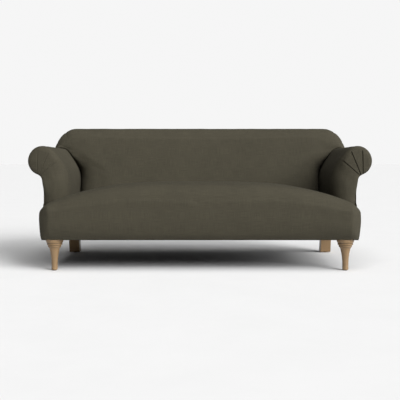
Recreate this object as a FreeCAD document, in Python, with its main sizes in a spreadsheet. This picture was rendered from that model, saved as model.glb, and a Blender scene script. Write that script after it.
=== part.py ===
import FreeCAD, Part
import Sketcher
import math
import os

# English roll arm sofa, a fixed three-seater in plain fabric on turned front legs.
# Millimetres, +Z up. The front faces -Y, and +X is the right as seen from the front.
# The origin is on the floor, under the middle of the sofa's bounding box.

DRIVING_SIZES = (
    # Overall, over the arm rolls, from the seat's nose to the back's crest
    ("overall_width", 2000),
    ("overall_depth", 920),
    ("overall_height", 828),
    ("ground_clearance", 178),
    # Sheet goods
    ("cover", 2),
    ("board", 3),
    ("hessian", 1),
    ("webbing", 1.5),
    ("webbing_width", 50),
    ("cambric", 0.8),
    # Arms
    ("roll_overhang", 93.5),
    ("arm_thickness", 143.5),
    ("neck_flare", 13.5),
    ("neck_gap", 7),
    ("flare_height", 430),
    ("arm_height", 708),
    ("roll_radius", 84),
    ("roll_end_angle", 75),
    ("arm_curve_height", 490),
    ("arm_setback", 130),
    ("arm_pad", 30),
    ("arm_front_pad", 22),
    # Back
    ("back_inset", 56),
    ("back_corner", 155),
    ("back_lean", 22.8),
    ("back_face_drop", 378),
    ("back_face_gap", 295),
    ("crest_front", 85),
    ("crest_rear", 55),
    ("rear_rake", 4.42),
    ("back_side_pad", 25),
    ("back_top_pad", 60),
    ("frame_lean", 9.7),
    ("frame_face_gap", 170),
    # Seat
    ("seat_height", 494),
    ("seat_shoulder_inset", 63),
    ("seat_shoulder_drop", 53),
    ("seat_ear_swell", 5.5),
    ("seat_ear_drop", 124),
    ("seat_foot_inset", 0.5),
    ("seat_bulge_height", 300),
    ("seat_toe", 30),
    ("seat_nose", 95),
    ("seat_fall", 24),
    # Wood frame
    ("rail_height", 140),
    ("side_rail", 28),
    ("front_rail", 25),
    ("back_rail", 30),
    ("front_rail_setback", 40),
    ("front_rail_corner", 10),
    ("front_rail_inset", 8),
    ("stretcher", 28),
    ("stretcher_height", 70),
    ("stretcher_spread", 600),
    ("top_rail_height", 50),
    ("lumbar_rail_height", 50),
    ("lumbar_rail", 28),
    ("lumbar_lift", 27),
    ("upright", 28),
    ("upright_depth", 45),
    ("scroll_board", 20),
    ("arm_post_depth", 60),
    ("arm_rail_drop", 22),
    ("stuffing_rail", 25),
    ("block_side", 112),
    ("block_height", 50),
    # Joints and fasteners
    ("dowel_diameter", 10),
    ("dowel_length", 40),
    ("screw_diameter", 5),
    ("screw_head", 10),
    ("screw_head_height", 3),
    ("screw_length", 62),
    # Seat springs
    ("spring_count", 15),
    ("spring_margin", 77),
    ("spring_wire", 3.8),
    ("spring_swing", 50),
    ("spring_loops", 16),
    ("clip", 1.2),
    ("clip_width", 16),
    ("clip_length", 20),
    ("tie_wire", 2),
    # Legs
    ("front_leg_inset", 75.5),
    ("front_leg_setback", 85),
    ("front_leg_top", 50),
    ("front_leg_ring", 44),
    ("front_leg_bead", 38),
    ("front_leg_neck", 28),
    ("front_leg_foot", 17.5),
    ("leg_ring_top", 158),
    ("leg_ring_bottom", 146),
    ("leg_bead_bottom", 136),
    ("leg_neck_height", 121),
    ("leg_foot_height", 35),
    ("leg_hollow", 360),
    ("back_leg_side", 66),
    ("back_leg_inset", 66.5),
    ("back_leg_setback", 95),
    ("back_leg_sweep", 47),
    ("glide_radius", 11),
    ("glide_height", 5),
    ("bolt_diameter", 8),
    ("bolt_depth", 60),
    ("bolt_rise", 34),
    ("back_bolt_shift", 10),
    ("tee_nut_flange", 20),
    ("tee_nut_barrel", 11),
    ("tee_nut_height", 14),
    ("tee_nut_plate", 1.5),
    # Dust cover
    ("dust_cover_margin", 12),
    ("leg_clearance", 1),
    ("staple_pitch", 120),
    ("staple_crown", 10),
    ("staple_wire", 1),
    ("staple_length", 8),
)

document = FreeCAD.newDocument("roll_arm_sofa")
sheet = document.addObject("Spreadsheet::Sheet", "size")
for row, (alias, number) in enumerate(DRIVING_SIZES, start=1):
    sheet.set(f"A{row}", alias)
    sheet.set(f"B{row}", str(number))
    sheet.setAlias(f"B{row}", alias)
document.recompute()

# Heights, plus places along X and Y, as expressions of the sheet's sizes
FLOOR_GAP = "size.ground_clearance"
RAIL_TOP = "(size.ground_clearance + size.rail_height)"
DECK = (
    f"({RAIL_TOP} + size.clip + size.spring_wire + size.tie_wire + size.hessian)"
)
CREST = "size.overall_height"
NOSE_Y = "(-size.overall_depth / 2)"
TAIL_Y = "(size.overall_depth / 2)"
ARM_FRONT = f"({NOSE_Y} + size.arm_setback)"
PANEL_X = "(size.overall_width / 2 - size.roll_overhang)"
INNER_X = f"({PANEL_X} - size.arm_thickness)"
FRAME_X = f"({PANEL_X} - size.cover - size.board)"
POST_X = f"({FRAME_X} - size.side_rail)"
FRONT_RAIL_FACE = f"({NOSE_Y} + size.front_rail_setback)"
FRONT_RAIL_BACK = f"({FRONT_RAIL_FACE} + size.front_rail)"
ARM_BOARD_FRONT = f"({ARM_FRONT} + size.cover + size.arm_front_pad)"
ARM_BOARD_BACK = f"({ARM_BOARD_FRONT} + size.scroll_board)"
FRAME_CREST = "(size.overall_height - size.back_top_pad)"
TOP_RAIL_FOOT = f"({FRAME_CREST} - size.top_rail_height)"
LUMBAR_FOOT = f"({RAIL_TOP} + size.lumbar_lift)"
LUMBAR_TOP = f"({LUMBAR_FOOT} + size.lumbar_rail_height)"
ROLL_X = "(size.overall_width / 2 - size.roll_radius)"
ROLL_Z = "(size.arm_height - size.roll_radius)"
NECK_Z = f"({ROLL_Z} - size.roll_radius - size.neck_gap)"
ARM_RAIL_FOOT = f"({ROLL_Z} - size.arm_rail_drop)"
FAR = "(size.overall_width)"
REAR_LAYERS = "(size.cover + size.board)"
WEB_FACE = "(size.hessian + size.webbing)"


def value(expression):
    """The number that an expression gives with the sheet's present sizes."""
    result = sheet.evalExpression(str(expression))
    return float(getattr(result, "Value", result))


def rear_y(height, inset="0"):
    """The raked rear face at a height, moved forward by an inset."""
    tangent_y = f"({TAIL_Y} - size.crest_rear * (1 - cos(size.rear_rake)))"
    tangent_z = f"({CREST} - size.crest_rear * (1 + sin(size.rear_rake)))"
    return (
        f"({tangent_y} + ({height} - {tangent_z}) * tan(size.rear_rake)"
        f" - ({inset}) / cos(size.rear_rake))"
    )


def frame_y(height, depth="0"):
    """The leaning front plane of the back frame at a height, moved rearward by a depth."""
    return (
        f"({TAIL_Y} - size.frame_face_gap"
        f" + ({height} - {RAIL_TOP}) * tan(size.frame_lean)"
        f" + ({depth}) / cos(size.frame_lean))"
    )


def origin_plane(body, role):
    """One of a body's own origin planes or axes."""
    for feature in body.Origin.OriginFeatures:
        if feature.Role == role:
            return feature
    raise ValueError(f"{body.Name} has no {role}")


def centre_of_arc(start, end, radius, hollow):
    """The centre of the shorter arc between two points, on the outline's inner side."""
    chord = end - start
    rise = math.sqrt(max(radius**2 - chord.Length**2 / 4, 0))
    side = FreeCAD.Vector(-chord.y, chord.x, 0).normalize()
    if hollow:
        side = side * -1
    return (start + end) / 2 + side * rise


def outline_sketch(body, role, corners):
    """A closed sketch through corners (x, y), each bound to the sheet.

    A third entry is the radius of an arc that leads to the next corner, bulging
    outward on a counterclockwise outline, or inward when a fourth entry says hollow.
    """
    sketch = body.newObject("Sketcher::SketchObject", f"{body.Name}_outline")
    sketch.AttachmentSupport = [(origin_plane(body, role), "")]
    sketch.MapMode = "FlatFace"
    spots = [FreeCAD.Vector(value(c[0]), value(c[1]), 0) for c in corners]
    starts = []
    ends = []
    for index, corner in enumerate(corners):
        start = spots[index]
        end = spots[(index + 1) % len(spots)]
        if len(corner) == 2:
            sketch.addGeometry(Part.LineSegment(start, end), False)
            starts.append(1)
            ends.append(2)
            continue
        hollow = len(corner) == 4
        radius = value(corner[2])
        centre = centre_of_arc(start, end, radius, hollow)
        first = math.atan2(start.y - centre.y, start.x - centre.x)
        last = math.atan2(end.y - centre.y, end.x - centre.x)
        circle = Part.Circle(centre, FreeCAD.Vector(0, 0, 1), radius)
        if hollow:
            sketch.addGeometry(Part.ArcOfCircle(circle, last, first), False)
            starts.append(2)
            ends.append(1)
        else:
            sketch.addGeometry(Part.ArcOfCircle(circle, first, last), False)
            starts.append(1)
            ends.append(2)
    for index in range(len(corners)):
        after = (index + 1) % len(corners)
        sketch.addConstraint(
            Sketcher.Constraint("Coincident", index, ends[index], after, starts[after])
        )
    for index, corner in enumerate(corners):
        for kind, entry, number in (
            ("DistanceX", corner[0], spots[index].x),
            ("DistanceY", corner[1], spots[index].y),
        ):
            place = sketch.addConstraint(
                Sketcher.Constraint(kind, -1, 1, index, starts[index], number)
            )
            sketch.setExpression(f"Constraints[{place}]", str(entry))
        if len(corner) > 2:
            place = sketch.addConstraint(
                Sketcher.Constraint("Radius", index, value(corner[2]))
            )
            sketch.setExpression(f"Constraints[{place}]", str(corner[2]))
    return sketch


def prism(name, role, corners, start, length):
    """A body: an outline on an origin plane, padded along +X, +Y or +Z from a start."""
    body = document.addObject("PartDesign::Body", name)
    sketch = outline_sketch(body, role, corners)
    turned = role == "XZ_Plane"
    sign = "-" if turned else ""
    sketch.AttachmentOffset = FreeCAD.Placement(
        FreeCAD.Vector(0, 0, value(f"{sign}({start})")), FreeCAD.Rotation()
    )
    sketch.setExpression("AttachmentOffset.Base.z", f"{sign}({start})")
    pad = body.newObject("PartDesign::Pad", f"{name}_pad")
    pad.Profile = sketch
    pad.Reversed = turned
    pad.setExpression("Length", str(length))
    body.Tip = pad
    sketch.Visibility = False
    return body


def box(name, x, y, z):
    """A box between three pairs of coordinates."""
    block = document.addObject("Part::Box", name)
    for side, corner, pair in (
        ("Length", "x", x),
        ("Width", "y", y),
        ("Height", "z", z),
    ):
        block.setExpression(side, f"{pair[1]} - ({pair[0]})")
        block.setExpression(f"Placement.Base.{corner}", str(pair[0]))
    return block


def rod(name, axis, diameter, length, x, y, z):
    """A cylinder along +X, +Y or +Z from a point."""
    cylinder = document.addObject("Part::Cylinder", name)
    cylinder.setExpression("Radius", f"{diameter} / 2")
    cylinder.setExpression("Height", str(length))
    turn = {"X": (FreeCAD.Vector(0, 1, 0), 90), "Y": (FreeCAD.Vector(1, 0, 0), -90)}
    if axis in turn:
        cylinder.Placement = FreeCAD.Placement(
            FreeCAD.Vector(), FreeCAD.Rotation(*turn[axis])
        )
    for corner, expression in (("x", x), ("y", y), ("z", z)):
        cylinder.setExpression(f"Placement.Base.{corner}", str(expression))
    return cylinder


def boolean(kind, name, base, tools):
    """A chain of two-piece booleans, of which the last has the name."""
    result = base
    for index, tool in enumerate(tools, start=1):
        last = index == len(tools)
        step = document.addObject(f"Part::{kind}", name if last else f"{name}_{index}")
        step.Base = result
        step.Tool = tool
        result = step
    return result


def cut(name, base, *tools):
    """What is left of a base outside its tools."""
    return boolean("Cut", name, base, tools)


def common(name, base, *tools):
    """What a base shares with all its tools."""
    return boolean("Common", name, base, tools)


def fuse(name, *shapes):
    """Several shapes as one."""
    whole = document.addObject("Part::MultiFuse", name)
    whole.Shapes = list(shapes)
    return whole


def group(name, *pieces):
    """Separate solids of one kind under one name."""
    bundle = document.addObject("Part::Compound", name)
    bundle.Links = list(pieces)
    return bundle


def mirror(name, source):
    """The left-hand twin of a right-hand piece."""
    twin = document.addObject("Part::Mirroring", name)
    twin.Source = source
    twin.Normal = FreeCAD.Vector(1, 0, 0)
    twin.Base = FreeCAD.Vector(0, 0, 0)
    return twin


NODES = []


def node(piece):
    """Marks an object as a finished piece, which is written under its own label."""
    piece.Label = piece.Name
    NODES.append(piece)
    return piece


def pair_of_nodes(name, source):
    """A right-hand piece and its mirrored twin, both finished."""
    node(source)
    node(mirror(f"{name}_left", source))


# Tool shapes: all that lies behind the rear face or behind the back frame's front
def behind_rear(name, inset):
    corners = (
        (rear_y("0", inset), "0"),
        (f"{TAIL_Y} + {FAR}", "0"),
        (f"{TAIL_Y} + {FAR}", f"2 * {CREST}"),
        (rear_y(f"2 * {CREST}", inset), f"2 * {CREST}"),
    )
    return prism(name, "YZ_Plane", corners, f"-{FAR}", f"2 * {FAR}")


def behind_frame(name, depth):
    corners = (
        (frame_y("0", depth), "0"),
        (f"{TAIL_Y} + {FAR}", "0"),
        (f"{TAIL_Y} + {FAR}", f"2 * {CREST}"),
        (frame_y(f"2 * {CREST}", depth), f"2 * {CREST}"),
    )
    return prism(name, "YZ_Plane", corners, f"-{FAR}", f"2 * {FAR}")


rear_of_board = behind_rear("rear_of_board", REAR_LAYERS)
rear_of_cover = behind_rear("rear_of_cover", "size.cover")
back_zone = behind_frame("back_zone", "0")
web_zone = behind_frame("web_zone", "size.hessian")
wood_zone = behind_frame("wood_zone", WEB_FACE)
above_deck = box(
    "above_deck", (f"-{FAR}", FAR), (f"-{FAR}", FAR), (DECK, f"2 * {CREST}")
)
below_deck = box("below_deck", (f"-{FAR}", FAR), (f"-{FAR}", FAR), (f"-{CREST}", DECK))


# Arm shapes: the roll's cross section, each time a little smaller
CURVE_RADIUS = (
    f"((({ROLL_X} - {INNER_X})^2 + ({ROLL_Z} - size.arm_curve_height)^2"
    f" - size.roll_radius^2) / (2 * ({ROLL_X} - {INNER_X} - size.roll_radius)))"
)


def arm_shape(name, inset, panel_inset, front_inset):
    """The right arm as one solid, inset from the inner side, the panel and the front."""
    roll = f"(size.roll_radius - ({inset}))"
    curve = f"({CURVE_RADIUS} - ({inset}))"
    span = f"({CURVE_RADIUS} - size.roll_radius)"
    lean_x = f"(({ROLL_X} - {INNER_X} - {CURVE_RADIUS}) / {span})"
    lean_z = f"(({ROLL_Z} - size.arm_curve_height) / {span})"
    corners = (
        (f"{INNER_X} + ({inset})", FLOOR_GAP),
        (f"{PANEL_X} - ({panel_inset})", FLOOR_GAP),
        (f"{PANEL_X} - ({panel_inset})", "size.flare_height"),
        (f"{PANEL_X} + size.neck_flare - ({panel_inset})", NECK_Z),
        (
            f"{ROLL_X} + {roll} * cos(size.roll_end_angle)",
            f"{ROLL_Z} - {roll} * sin(size.roll_end_angle)",
            roll,
        ),
        (f"{ROLL_X} + {roll}", ROLL_Z, roll),
        (f"{ROLL_X} + {roll} * {lean_x}", f"{ROLL_Z} + {roll} * {lean_z}", curve),
        (f"{INNER_X} + ({inset})", "size.arm_curve_height"),
    )
    front = f"({ARM_FRONT} + ({front_inset}))"
    length = f"{TAIL_Y} + {FAR} - {front}"
    return prism(name, "XZ_Plane", corners, front, length)


PAD_FACE = "(size.cover + size.arm_pad)"
FRONT_FACE = "(size.cover + size.arm_front_pad)"
arm_outer = arm_shape("arm_outer", "0", "0", "0")
arm_padded = arm_shape("arm_padded", "size.cover", "size.cover", "size.cover")
arm_core = arm_shape("arm_core", PAD_FACE, REAR_LAYERS, FRONT_FACE)
arm_web_core = arm_shape(
    "arm_web_core", f"{PAD_FACE} + size.hessian", REAR_LAYERS, FRONT_FACE
)
arm_wood_core = arm_shape(
    "arm_wood_core", f"{PAD_FACE} + {WEB_FACE}", REAR_LAYERS, FRONT_FACE
)
arm_outer_left = mirror("arm_outer_left", arm_outer)


# Back shapes: a side section and a front outline, each time a little smaller
def back_section(name, inset):
    """The back's side section from the floor gap to the crest, over the whole width."""
    front_crest = f"(size.crest_front - ({inset}))"
    rear_crest = f"(size.crest_rear - ({inset}))"
    face_y = f"({TAIL_Y} - size.back_face_gap)"
    crest_z = f"({CREST} - size.crest_front * (1 - sin(size.back_lean)))"
    face_z = f"({CREST} - size.back_face_drop)"
    crest_y = (
        f"({face_y} + ({crest_z} - {face_z}) * tan(size.back_lean)"
        " + size.crest_front * cos(size.back_lean))"
    )
    foot_y = (
        f"({face_y} + (size.ground_clearance - {face_z})"
        f" * tan(size.back_lean) + ({inset}) / cos(size.back_lean))"
    )
    corners = (
        (foot_y, FLOOR_GAP),
        (rear_y(FLOOR_GAP, inset), FLOOR_GAP),
        (
            f"{TAIL_Y} - size.crest_rear + {rear_crest} * cos(size.rear_rake)",
            f"{CREST} - size.crest_rear - {rear_crest} * sin(size.rear_rake)",
            rear_crest,
        ),
        (f"{TAIL_Y} - size.crest_rear", f"{CREST} - ({inset})"),
        (crest_y, f"{CREST} - ({inset})", front_crest),
        (
            f"{crest_y} - {front_crest} * cos(size.back_lean)",
            f"{CREST} - size.crest_front + {front_crest} * sin(size.back_lean)",
        ),
    )
    return prism(name, "YZ_Plane", corners, f"-{FAR}", f"2 * {FAR}")


def back_outline(name, inset):
    """The back seen from the front: between the arms from the deck up, and over them."""
    side = f"(size.overall_width / 2 - size.back_inset - ({inset}))"
    corner = f"(size.back_corner - ({inset}))"
    spring = f"({CREST} - size.back_corner)"
    turn_x = "(size.overall_width / 2 - size.back_inset - size.back_corner)"
    corners = (
        (f"-{INNER_X}", DECK),
        (INNER_X, DECK),
        (INNER_X, "size.arm_curve_height"),
        (PANEL_X, "size.arm_curve_height"),
        (PANEL_X, ROLL_Z),
        (side, ROLL_Z),
        (side, spring, corner),
        (turn_x, f"{CREST} - ({inset})"),
        (f"-{turn_x}", f"{CREST} - ({inset})", corner),
        (f"-{side}", spring),
        (f"-{side}", ROLL_Z),
        (f"-{PANEL_X}", ROLL_Z),
        (f"-{PANEL_X}", "size.arm_curve_height"),
        (f"-{INNER_X}", "size.arm_curve_height"),
    )
    return prism(name, "XZ_Plane", corners, f"-{FAR}", f"2 * {FAR}")


section_outer = back_section("section_outer", "0")
section_padded = back_section("section_padded", "size.cover")
outline_outer = back_outline("outline_outer", "0")
outline_padded = back_outline("outline_padded", "size.cover")
outline_core = back_outline("outline_core", "size.cover + size.back_side_pad")
back_outer = common("back_outer", section_outer, outline_outer)
back_padded = common("back_padded", section_padded, outline_padded)
below_crest = box(
    "below_crest", (f"-{FAR}", FAR), (f"-{FAR}", FAR), (FLOOR_GAP, FRAME_CREST)
)
back_core = common("back_core", outline_core, back_zone, below_crest)


# Seat shapes: a side section with a rounded nose, and a crowned front outline
def seat_section(name, inset):
    nose = f"(size.seat_nose - ({inset}))"
    corners = (
        (f"{NOSE_Y} + size.seat_toe + ({inset})", FLOOR_GAP),
        (frame_y(RAIL_TOP), FLOOR_GAP),
        (frame_y(RAIL_TOP), f"size.seat_height - size.seat_fall - ({inset})"),
        (f"{NOSE_Y} + size.seat_nose", f"size.seat_height - ({inset})", nose),
        (f"{NOSE_Y} + ({inset})", "size.seat_height - size.seat_nose"),
        (f"{NOSE_Y} + ({inset})", "size.seat_bulge_height"),
    )
    return prism(name, "YZ_Plane", corners, f"-{FAR}", f"2 * {FAR}")


def seat_outline(name, inset):
    rise = "size.seat_shoulder_drop"
    shoulder = f"({INNER_X} - size.seat_shoulder_inset)"
    crown = f"(({shoulder}^2 + {rise}^2) / (2 * {rise}))"
    foot = f"({PANEL_X} - size.seat_foot_inset - ({inset}))"
    bulge = f"({PANEL_X} + size.seat_ear_swell - ({inset}))"
    shoulder_top = f"(size.seat_height - {rise} - ({inset}))"
    ear_top = f"(size.seat_height - size.seat_ear_drop - ({inset}))"
    corners = (
        (f"-{foot}", FLOOR_GAP),
        (foot, FLOOR_GAP),
        (bulge, "size.seat_bulge_height"),
        (bulge, ear_top),
        (shoulder, shoulder_top, crown),
        (f"-{shoulder}", shoulder_top),
        (f"-{bulge}", ear_top),
        (f"-{bulge}", "size.seat_bulge_height"),
    )
    return prism(name, "XZ_Plane", corners, f"-{FAR}", f"2 * {FAR}")


seat_outer = common(
    "seat_outer", seat_section("seat_side_0", "0"), seat_outline("seat_front_0", "0")
)
seat_padded = common(
    "seat_padded",
    seat_section("seat_side_1", "size.cover"),
    seat_outline("seat_front_1", "size.cover"),
)
beside_seat = box(
    "beside_seat", (INNER_X, FAR), (ARM_FRONT, FAR), (f"-{CREST}", f"2 * {CREST}")
)
beside_seat_left = mirror("beside_seat_left", beside_seat)

# Raw wood, before its dowel holes
front_rail_corners = (
    (f"-({FRAME_X} - size.front_rail_inset)", FRONT_RAIL_BACK),
    (
        f"-({FRAME_X} - size.front_rail_inset - size.front_rail_corner)",
        FRONT_RAIL_FACE,
    ),
    (
        f"{FRAME_X} - size.front_rail_inset - size.front_rail_corner",
        FRONT_RAIL_FACE,
    ),
    (f"{FRAME_X} - size.front_rail_inset", FRONT_RAIL_BACK),
)
raw_front_rail = prism(
    "raw_front_rail", "XY_Plane", front_rail_corners, FLOOR_GAP, "size.rail_height"
)
raw_side_rail = cut(
    "raw_side_rail",
    box(
        "side_rail_stock",
        (POST_X, FRAME_X),
        (FRONT_RAIL_BACK, TAIL_Y),
        (FLOOR_GAP, RAIL_TOP),
    ),
    wood_zone,
)
raw_post = common(
    "raw_post",
    cut(
        "post_stock",
        box(
            "post_blank",
            (POST_X, FRAME_X),
            (f"-{TAIL_Y}", f"2 * {TAIL_Y}"),
            (FLOOR_GAP, TOP_RAIL_FOOT),
        ),
        rear_of_board,
    ),
    wood_zone,
)
BACK_RAIL_FACE = f"({rear_y(FLOOR_GAP, REAR_LAYERS)} - size.back_rail)"
raw_back_rail = cut(
    "raw_back_rail",
    box(
        "back_rail_stock",
        (f"-{POST_X}", POST_X),
        (BACK_RAIL_FACE, TAIL_Y),
        (FLOOR_GAP, RAIL_TOP),
    ),
    rear_of_board,
)
raw_top_rail = common(
    "raw_top_rail",
    cut(
        "top_rail_stock",
        box(
            "top_rail_blank",
            (f"-{FAR}", FAR),
            (f"-{TAIL_Y}", f"2 * {TAIL_Y}"),
            (TOP_RAIL_FOOT, FRAME_CREST),
        ),
        rear_of_board,
    ),
    wood_zone,
    outline_core,
)
behind_lumbar = behind_frame("behind_lumbar", f"{WEB_FACE} + size.lumbar_rail")
raw_lumbar_rail = common(
    "raw_lumbar_rail",
    cut(
        "lumbar_stock",
        box(
            "lumbar_blank",
            (f"-{POST_X}", POST_X),
            (f"-{TAIL_Y}", f"2 * {TAIL_Y}"),
            (LUMBAR_FOOT, LUMBAR_TOP),
        ),
        behind_lumbar,
    ),
    wood_zone,
)
behind_upright = behind_frame("behind_upright", f"{WEB_FACE} + size.upright_depth")


def raw_upright(side, sign):
    """One of the two slats between the lumbar rail and the top rail."""
    middle = f"{sign}size.stretcher_spread / 2"
    blank = box(
        f"upright_blank_{side}",
        (f"{middle} - size.upright / 2", f"{middle} + size.upright / 2"),
        (f"-{TAIL_Y}", f"2 * {TAIL_Y}"),
        (LUMBAR_TOP, TOP_RAIL_FOOT),
    )
    stock = cut(f"upright_stock_{side}", blank, behind_upright)
    return common(f"raw_upright_{side}", stock, wood_zone)


def raw_stretcher(side, sign):
    """One of the two stretchers between the front and the back rail."""
    middle = f"{sign}size.stretcher_spread / 2"
    return box(
        f"raw_stretcher_{side}",
        (f"{middle} - size.stretcher / 2", f"{middle} + size.stretcher / 2"),
        (FRONT_RAIL_BACK, BACK_RAIL_FACE),
        (FLOOR_GAP, f"{FLOOR_GAP} + size.stretcher_height"),
    )


raw_scroll_board = common(
    "raw_scroll_board",
    arm_core,
    box(
        "scroll_board_zone",
        ("0", FAR),
        (ARM_BOARD_FRONT, ARM_BOARD_BACK),
        (RAIL_TOP, f"2 * {CREST}"),
    ),
)
raw_arm_post = box(
    "raw_arm_post",
    (POST_X, FRAME_X),
    (ARM_BOARD_BACK, f"{ARM_BOARD_BACK} + size.arm_post_depth"),
    (RAIL_TOP, ARM_RAIL_FOOT),
)
raw_arm_rail = cut(
    "raw_arm_rail",
    common(
        "arm_rail_stock",
        arm_wood_core,
        box(
            "arm_rail_zone",
            ("0", FAR),
            (ARM_BOARD_BACK, TAIL_Y),
            (ARM_RAIL_FOOT, f"2 * {CREST}"),
        ),
    ),
    rear_of_board,
    raw_post,
)
STUFFING_X = f"({INNER_X} + {PAD_FACE} + {WEB_FACE})"
raw_stuffing_rail = cut(
    "raw_stuffing_rail",
    box(
        "stuffing_rail_stock",
        (STUFFING_X, f"{STUFFING_X} + size.stuffing_rail"),
        (ARM_BOARD_BACK, TAIL_Y),
        (LUMBAR_FOOT, LUMBAR_TOP),
    ),
    wood_zone,
)


# Corner blocks, cut to fit between two rails, with a bolt hole for the leg
def corner_block(name, rail_y, sign):
    """A triangular block in the corner of a side rail and a rail at rail_y."""
    corners = (
        (POST_X, rail_y),
        (POST_X, f"{rail_y} {sign} size.block_side"),
        (f"{POST_X} - size.block_side", rail_y),
    )
    return prism(name, "XY_Plane", corners, FLOOR_GAP, "size.block_height")


front_block = corner_block("front_block_stock", FRONT_RAIL_BACK, "+")
back_block = corner_block("back_block_stock", BACK_RAIL_FACE, "-")

# Legs: turned in front, square and swept in the back
FRONT_LEG_X = f"({PANEL_X} - size.front_leg_inset)"
FRONT_LEG_Y = f"({NOSE_Y} + size.front_leg_setback)"
BACK_LEG_X = f"({PANEL_X} - size.back_leg_inset)"
BACK_LEG_Y = f"({TAIL_Y} - size.back_leg_setback)"
BACK_BOLT_X = f"({BACK_LEG_X} - size.back_bolt_shift)"
BACK_BOLT_Y = f"({BACK_LEG_Y} - size.back_bolt_shift)"


def turned_leg():
    """The front leg: a drum, a ring, a bead, a hollow neck and a thin round foot."""
    body = document.addObject("PartDesign::Body", "turned_leg")
    corners = (
        ("0", "size.glide_height"),
        ("size.front_leg_foot", "size.glide_height"),
        (
            "size.front_leg_foot",
            "size.leg_foot_height",
            "size.leg_hollow",
            "hollow",
        ),
        ("size.front_leg_neck", "size.leg_neck_height"),
        (
            "size.front_leg_neck + (size.front_leg_bead - size.front_leg_neck) * 0.3",
            "size.leg_neck_height + (size.leg_bead_bottom - size.leg_neck_height) / 2",
        ),
        ("size.front_leg_bead", "size.leg_bead_bottom"),
        ("size.front_leg_bead", "size.leg_ring_bottom - 1"),
        ("size.front_leg_bead - 2", "size.leg_ring_bottom"),
        ("size.front_leg_ring - 1", "size.leg_ring_bottom + 0.5"),
        ("size.front_leg_ring", "size.leg_ring_bottom + 2"),
        ("size.front_leg_ring", "size.leg_ring_top - 5"),
        ("size.front_leg_ring - 2", "size.leg_ring_top - 4"),
        ("size.front_leg_ring - 2", "size.leg_ring_top - 1"),
        ("size.front_leg_ring + 1.5", "size.leg_ring_top"),
        ("size.front_leg_top", "size.ground_clearance - 7"),
        ("size.front_leg_top", "size.ground_clearance"),
        ("0", "size.ground_clearance"),
    )
    sketch = outline_sketch(body, "XZ_Plane", corners)
    turning = body.newObject("PartDesign::Revolution", "turned_leg_turning")
    turning.Profile = sketch
    turning.ReferenceAxis = (sketch, ["V_Axis"])
    turning.Angle = 360
    body.Tip = turning
    body.setExpression("Placement.Base.x", FRONT_LEG_X)
    body.setExpression("Placement.Base.y", FRONT_LEG_Y)
    return body


HALF_LEG = "size.back_leg_side / 2"
back_leg_corners = (
    (f"{BACK_LEG_Y} + size.back_leg_sweep - {HALF_LEG}", "size.glide_height"),
    (f"{BACK_LEG_Y} + size.back_leg_sweep + {HALF_LEG}", "size.glide_height"),
    (f"{BACK_LEG_Y} + {HALF_LEG}", FLOOR_GAP),
    (f"{BACK_LEG_Y} - {HALF_LEG}", FLOOR_GAP),
)
swept_leg = prism(
    "swept_leg",
    "YZ_Plane",
    back_leg_corners,
    f"{BACK_LEG_X} - {HALF_LEG}",
    "size.back_leg_side",
)


def leg_bolt(name, x, y):
    """A hanger bolt that stands in a leg and runs up through the corner block."""
    return rod(
        name,
        "Z",
        "size.bolt_diameter",
        "size.bolt_depth + size.bolt_rise",
        x,
        y,
        f"{FLOOR_GAP} - size.bolt_depth",
    )


def tee_nut(name, x, y, bolt):
    """A flanged nut pressed into the underside of a corner block."""
    plate = rod(
        f"{name}_plate", "Z", "size.tee_nut_flange", "size.tee_nut_plate", x, y, FLOOR_GAP
    )
    barrel = rod(
        f"{name}_barrel", "Z", "size.tee_nut_barrel", "size.tee_nut_height", x, y, FLOOR_GAP
    )
    return cut(name, fuse(f"{name}_blank", plate, barrel), bolt)


front_bolt = leg_bolt("front_bolt", FRONT_LEG_X, FRONT_LEG_Y)
back_bolt = leg_bolt("back_bolt", BACK_BOLT_X, BACK_BOLT_Y)
front_nut = tee_nut("front_nut", FRONT_LEG_X, FRONT_LEG_Y, front_bolt)
back_nut = tee_nut("back_nut", BACK_BOLT_X, BACK_BOLT_Y, back_bolt)

# Corner block screws, each with the bore that its head goes in by
SCREW_Z = f"({FLOOR_GAP} + size.block_height * 0.72)"
SCREW_SHARE = "size.block_side * 0.55"


def block_screw(name, axis, way, x, y, rail):
    """A screw from a corner block into a rail, with its point towards +axis or -axis.

    The place is the joint between block and rail, and the point stops inside the rail.
    """
    joint = {"X": x, "Y": y}
    bite = f"({rail} * 0.8)"
    grip = f"(size.screw_length - {bite})"
    starts = {
        "+": (
            f"-{grip}",
            f"-{grip} - size.screw_head_height",
            f"-{grip} - size.block_side",
        ),
        "-": (f"-{bite}", grip, grip),
    }[way]

    def turned_piece(part, diameter, length, start):
        place = dict(joint)
        place[axis] = f"{joint[axis]} + ({start})"
        return rod(f"{name}_{part}", axis, diameter, length, place["X"], place["Y"], SCREW_Z)

    shank = turned_piece("shank", "size.screw_diameter", "size.screw_length", starts[0])
    head = turned_piece("head", "size.screw_head", "size.screw_head_height", starts[1])
    bore = turned_piece("bore", "size.screw_head", "size.block_side", starts[2])
    return fuse(name, shank, head), bore


front_side_screw, front_side_bore = block_screw(
    "front_side_screw", "X", "+", POST_X, f"{FRONT_RAIL_BACK} + {SCREW_SHARE}",
    "size.side_rail",
)
front_rail_screw, front_rail_bore = block_screw(
    "front_rail_screw", "Y", "-", f"{POST_X} - {SCREW_SHARE}", FRONT_RAIL_BACK,
    "size.front_rail",
)
back_side_screw, back_side_bore = block_screw(
    "back_side_screw", "X", "+", POST_X, f"{BACK_RAIL_FACE} - {SCREW_SHARE}",
    "size.side_rail",
)
back_rail_screw, back_rail_bore = block_screw(
    "back_rail_screw", "Y", "+", f"{POST_X} - {SCREW_SHARE}", BACK_RAIL_FACE,
    "size.back_rail",
)

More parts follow.
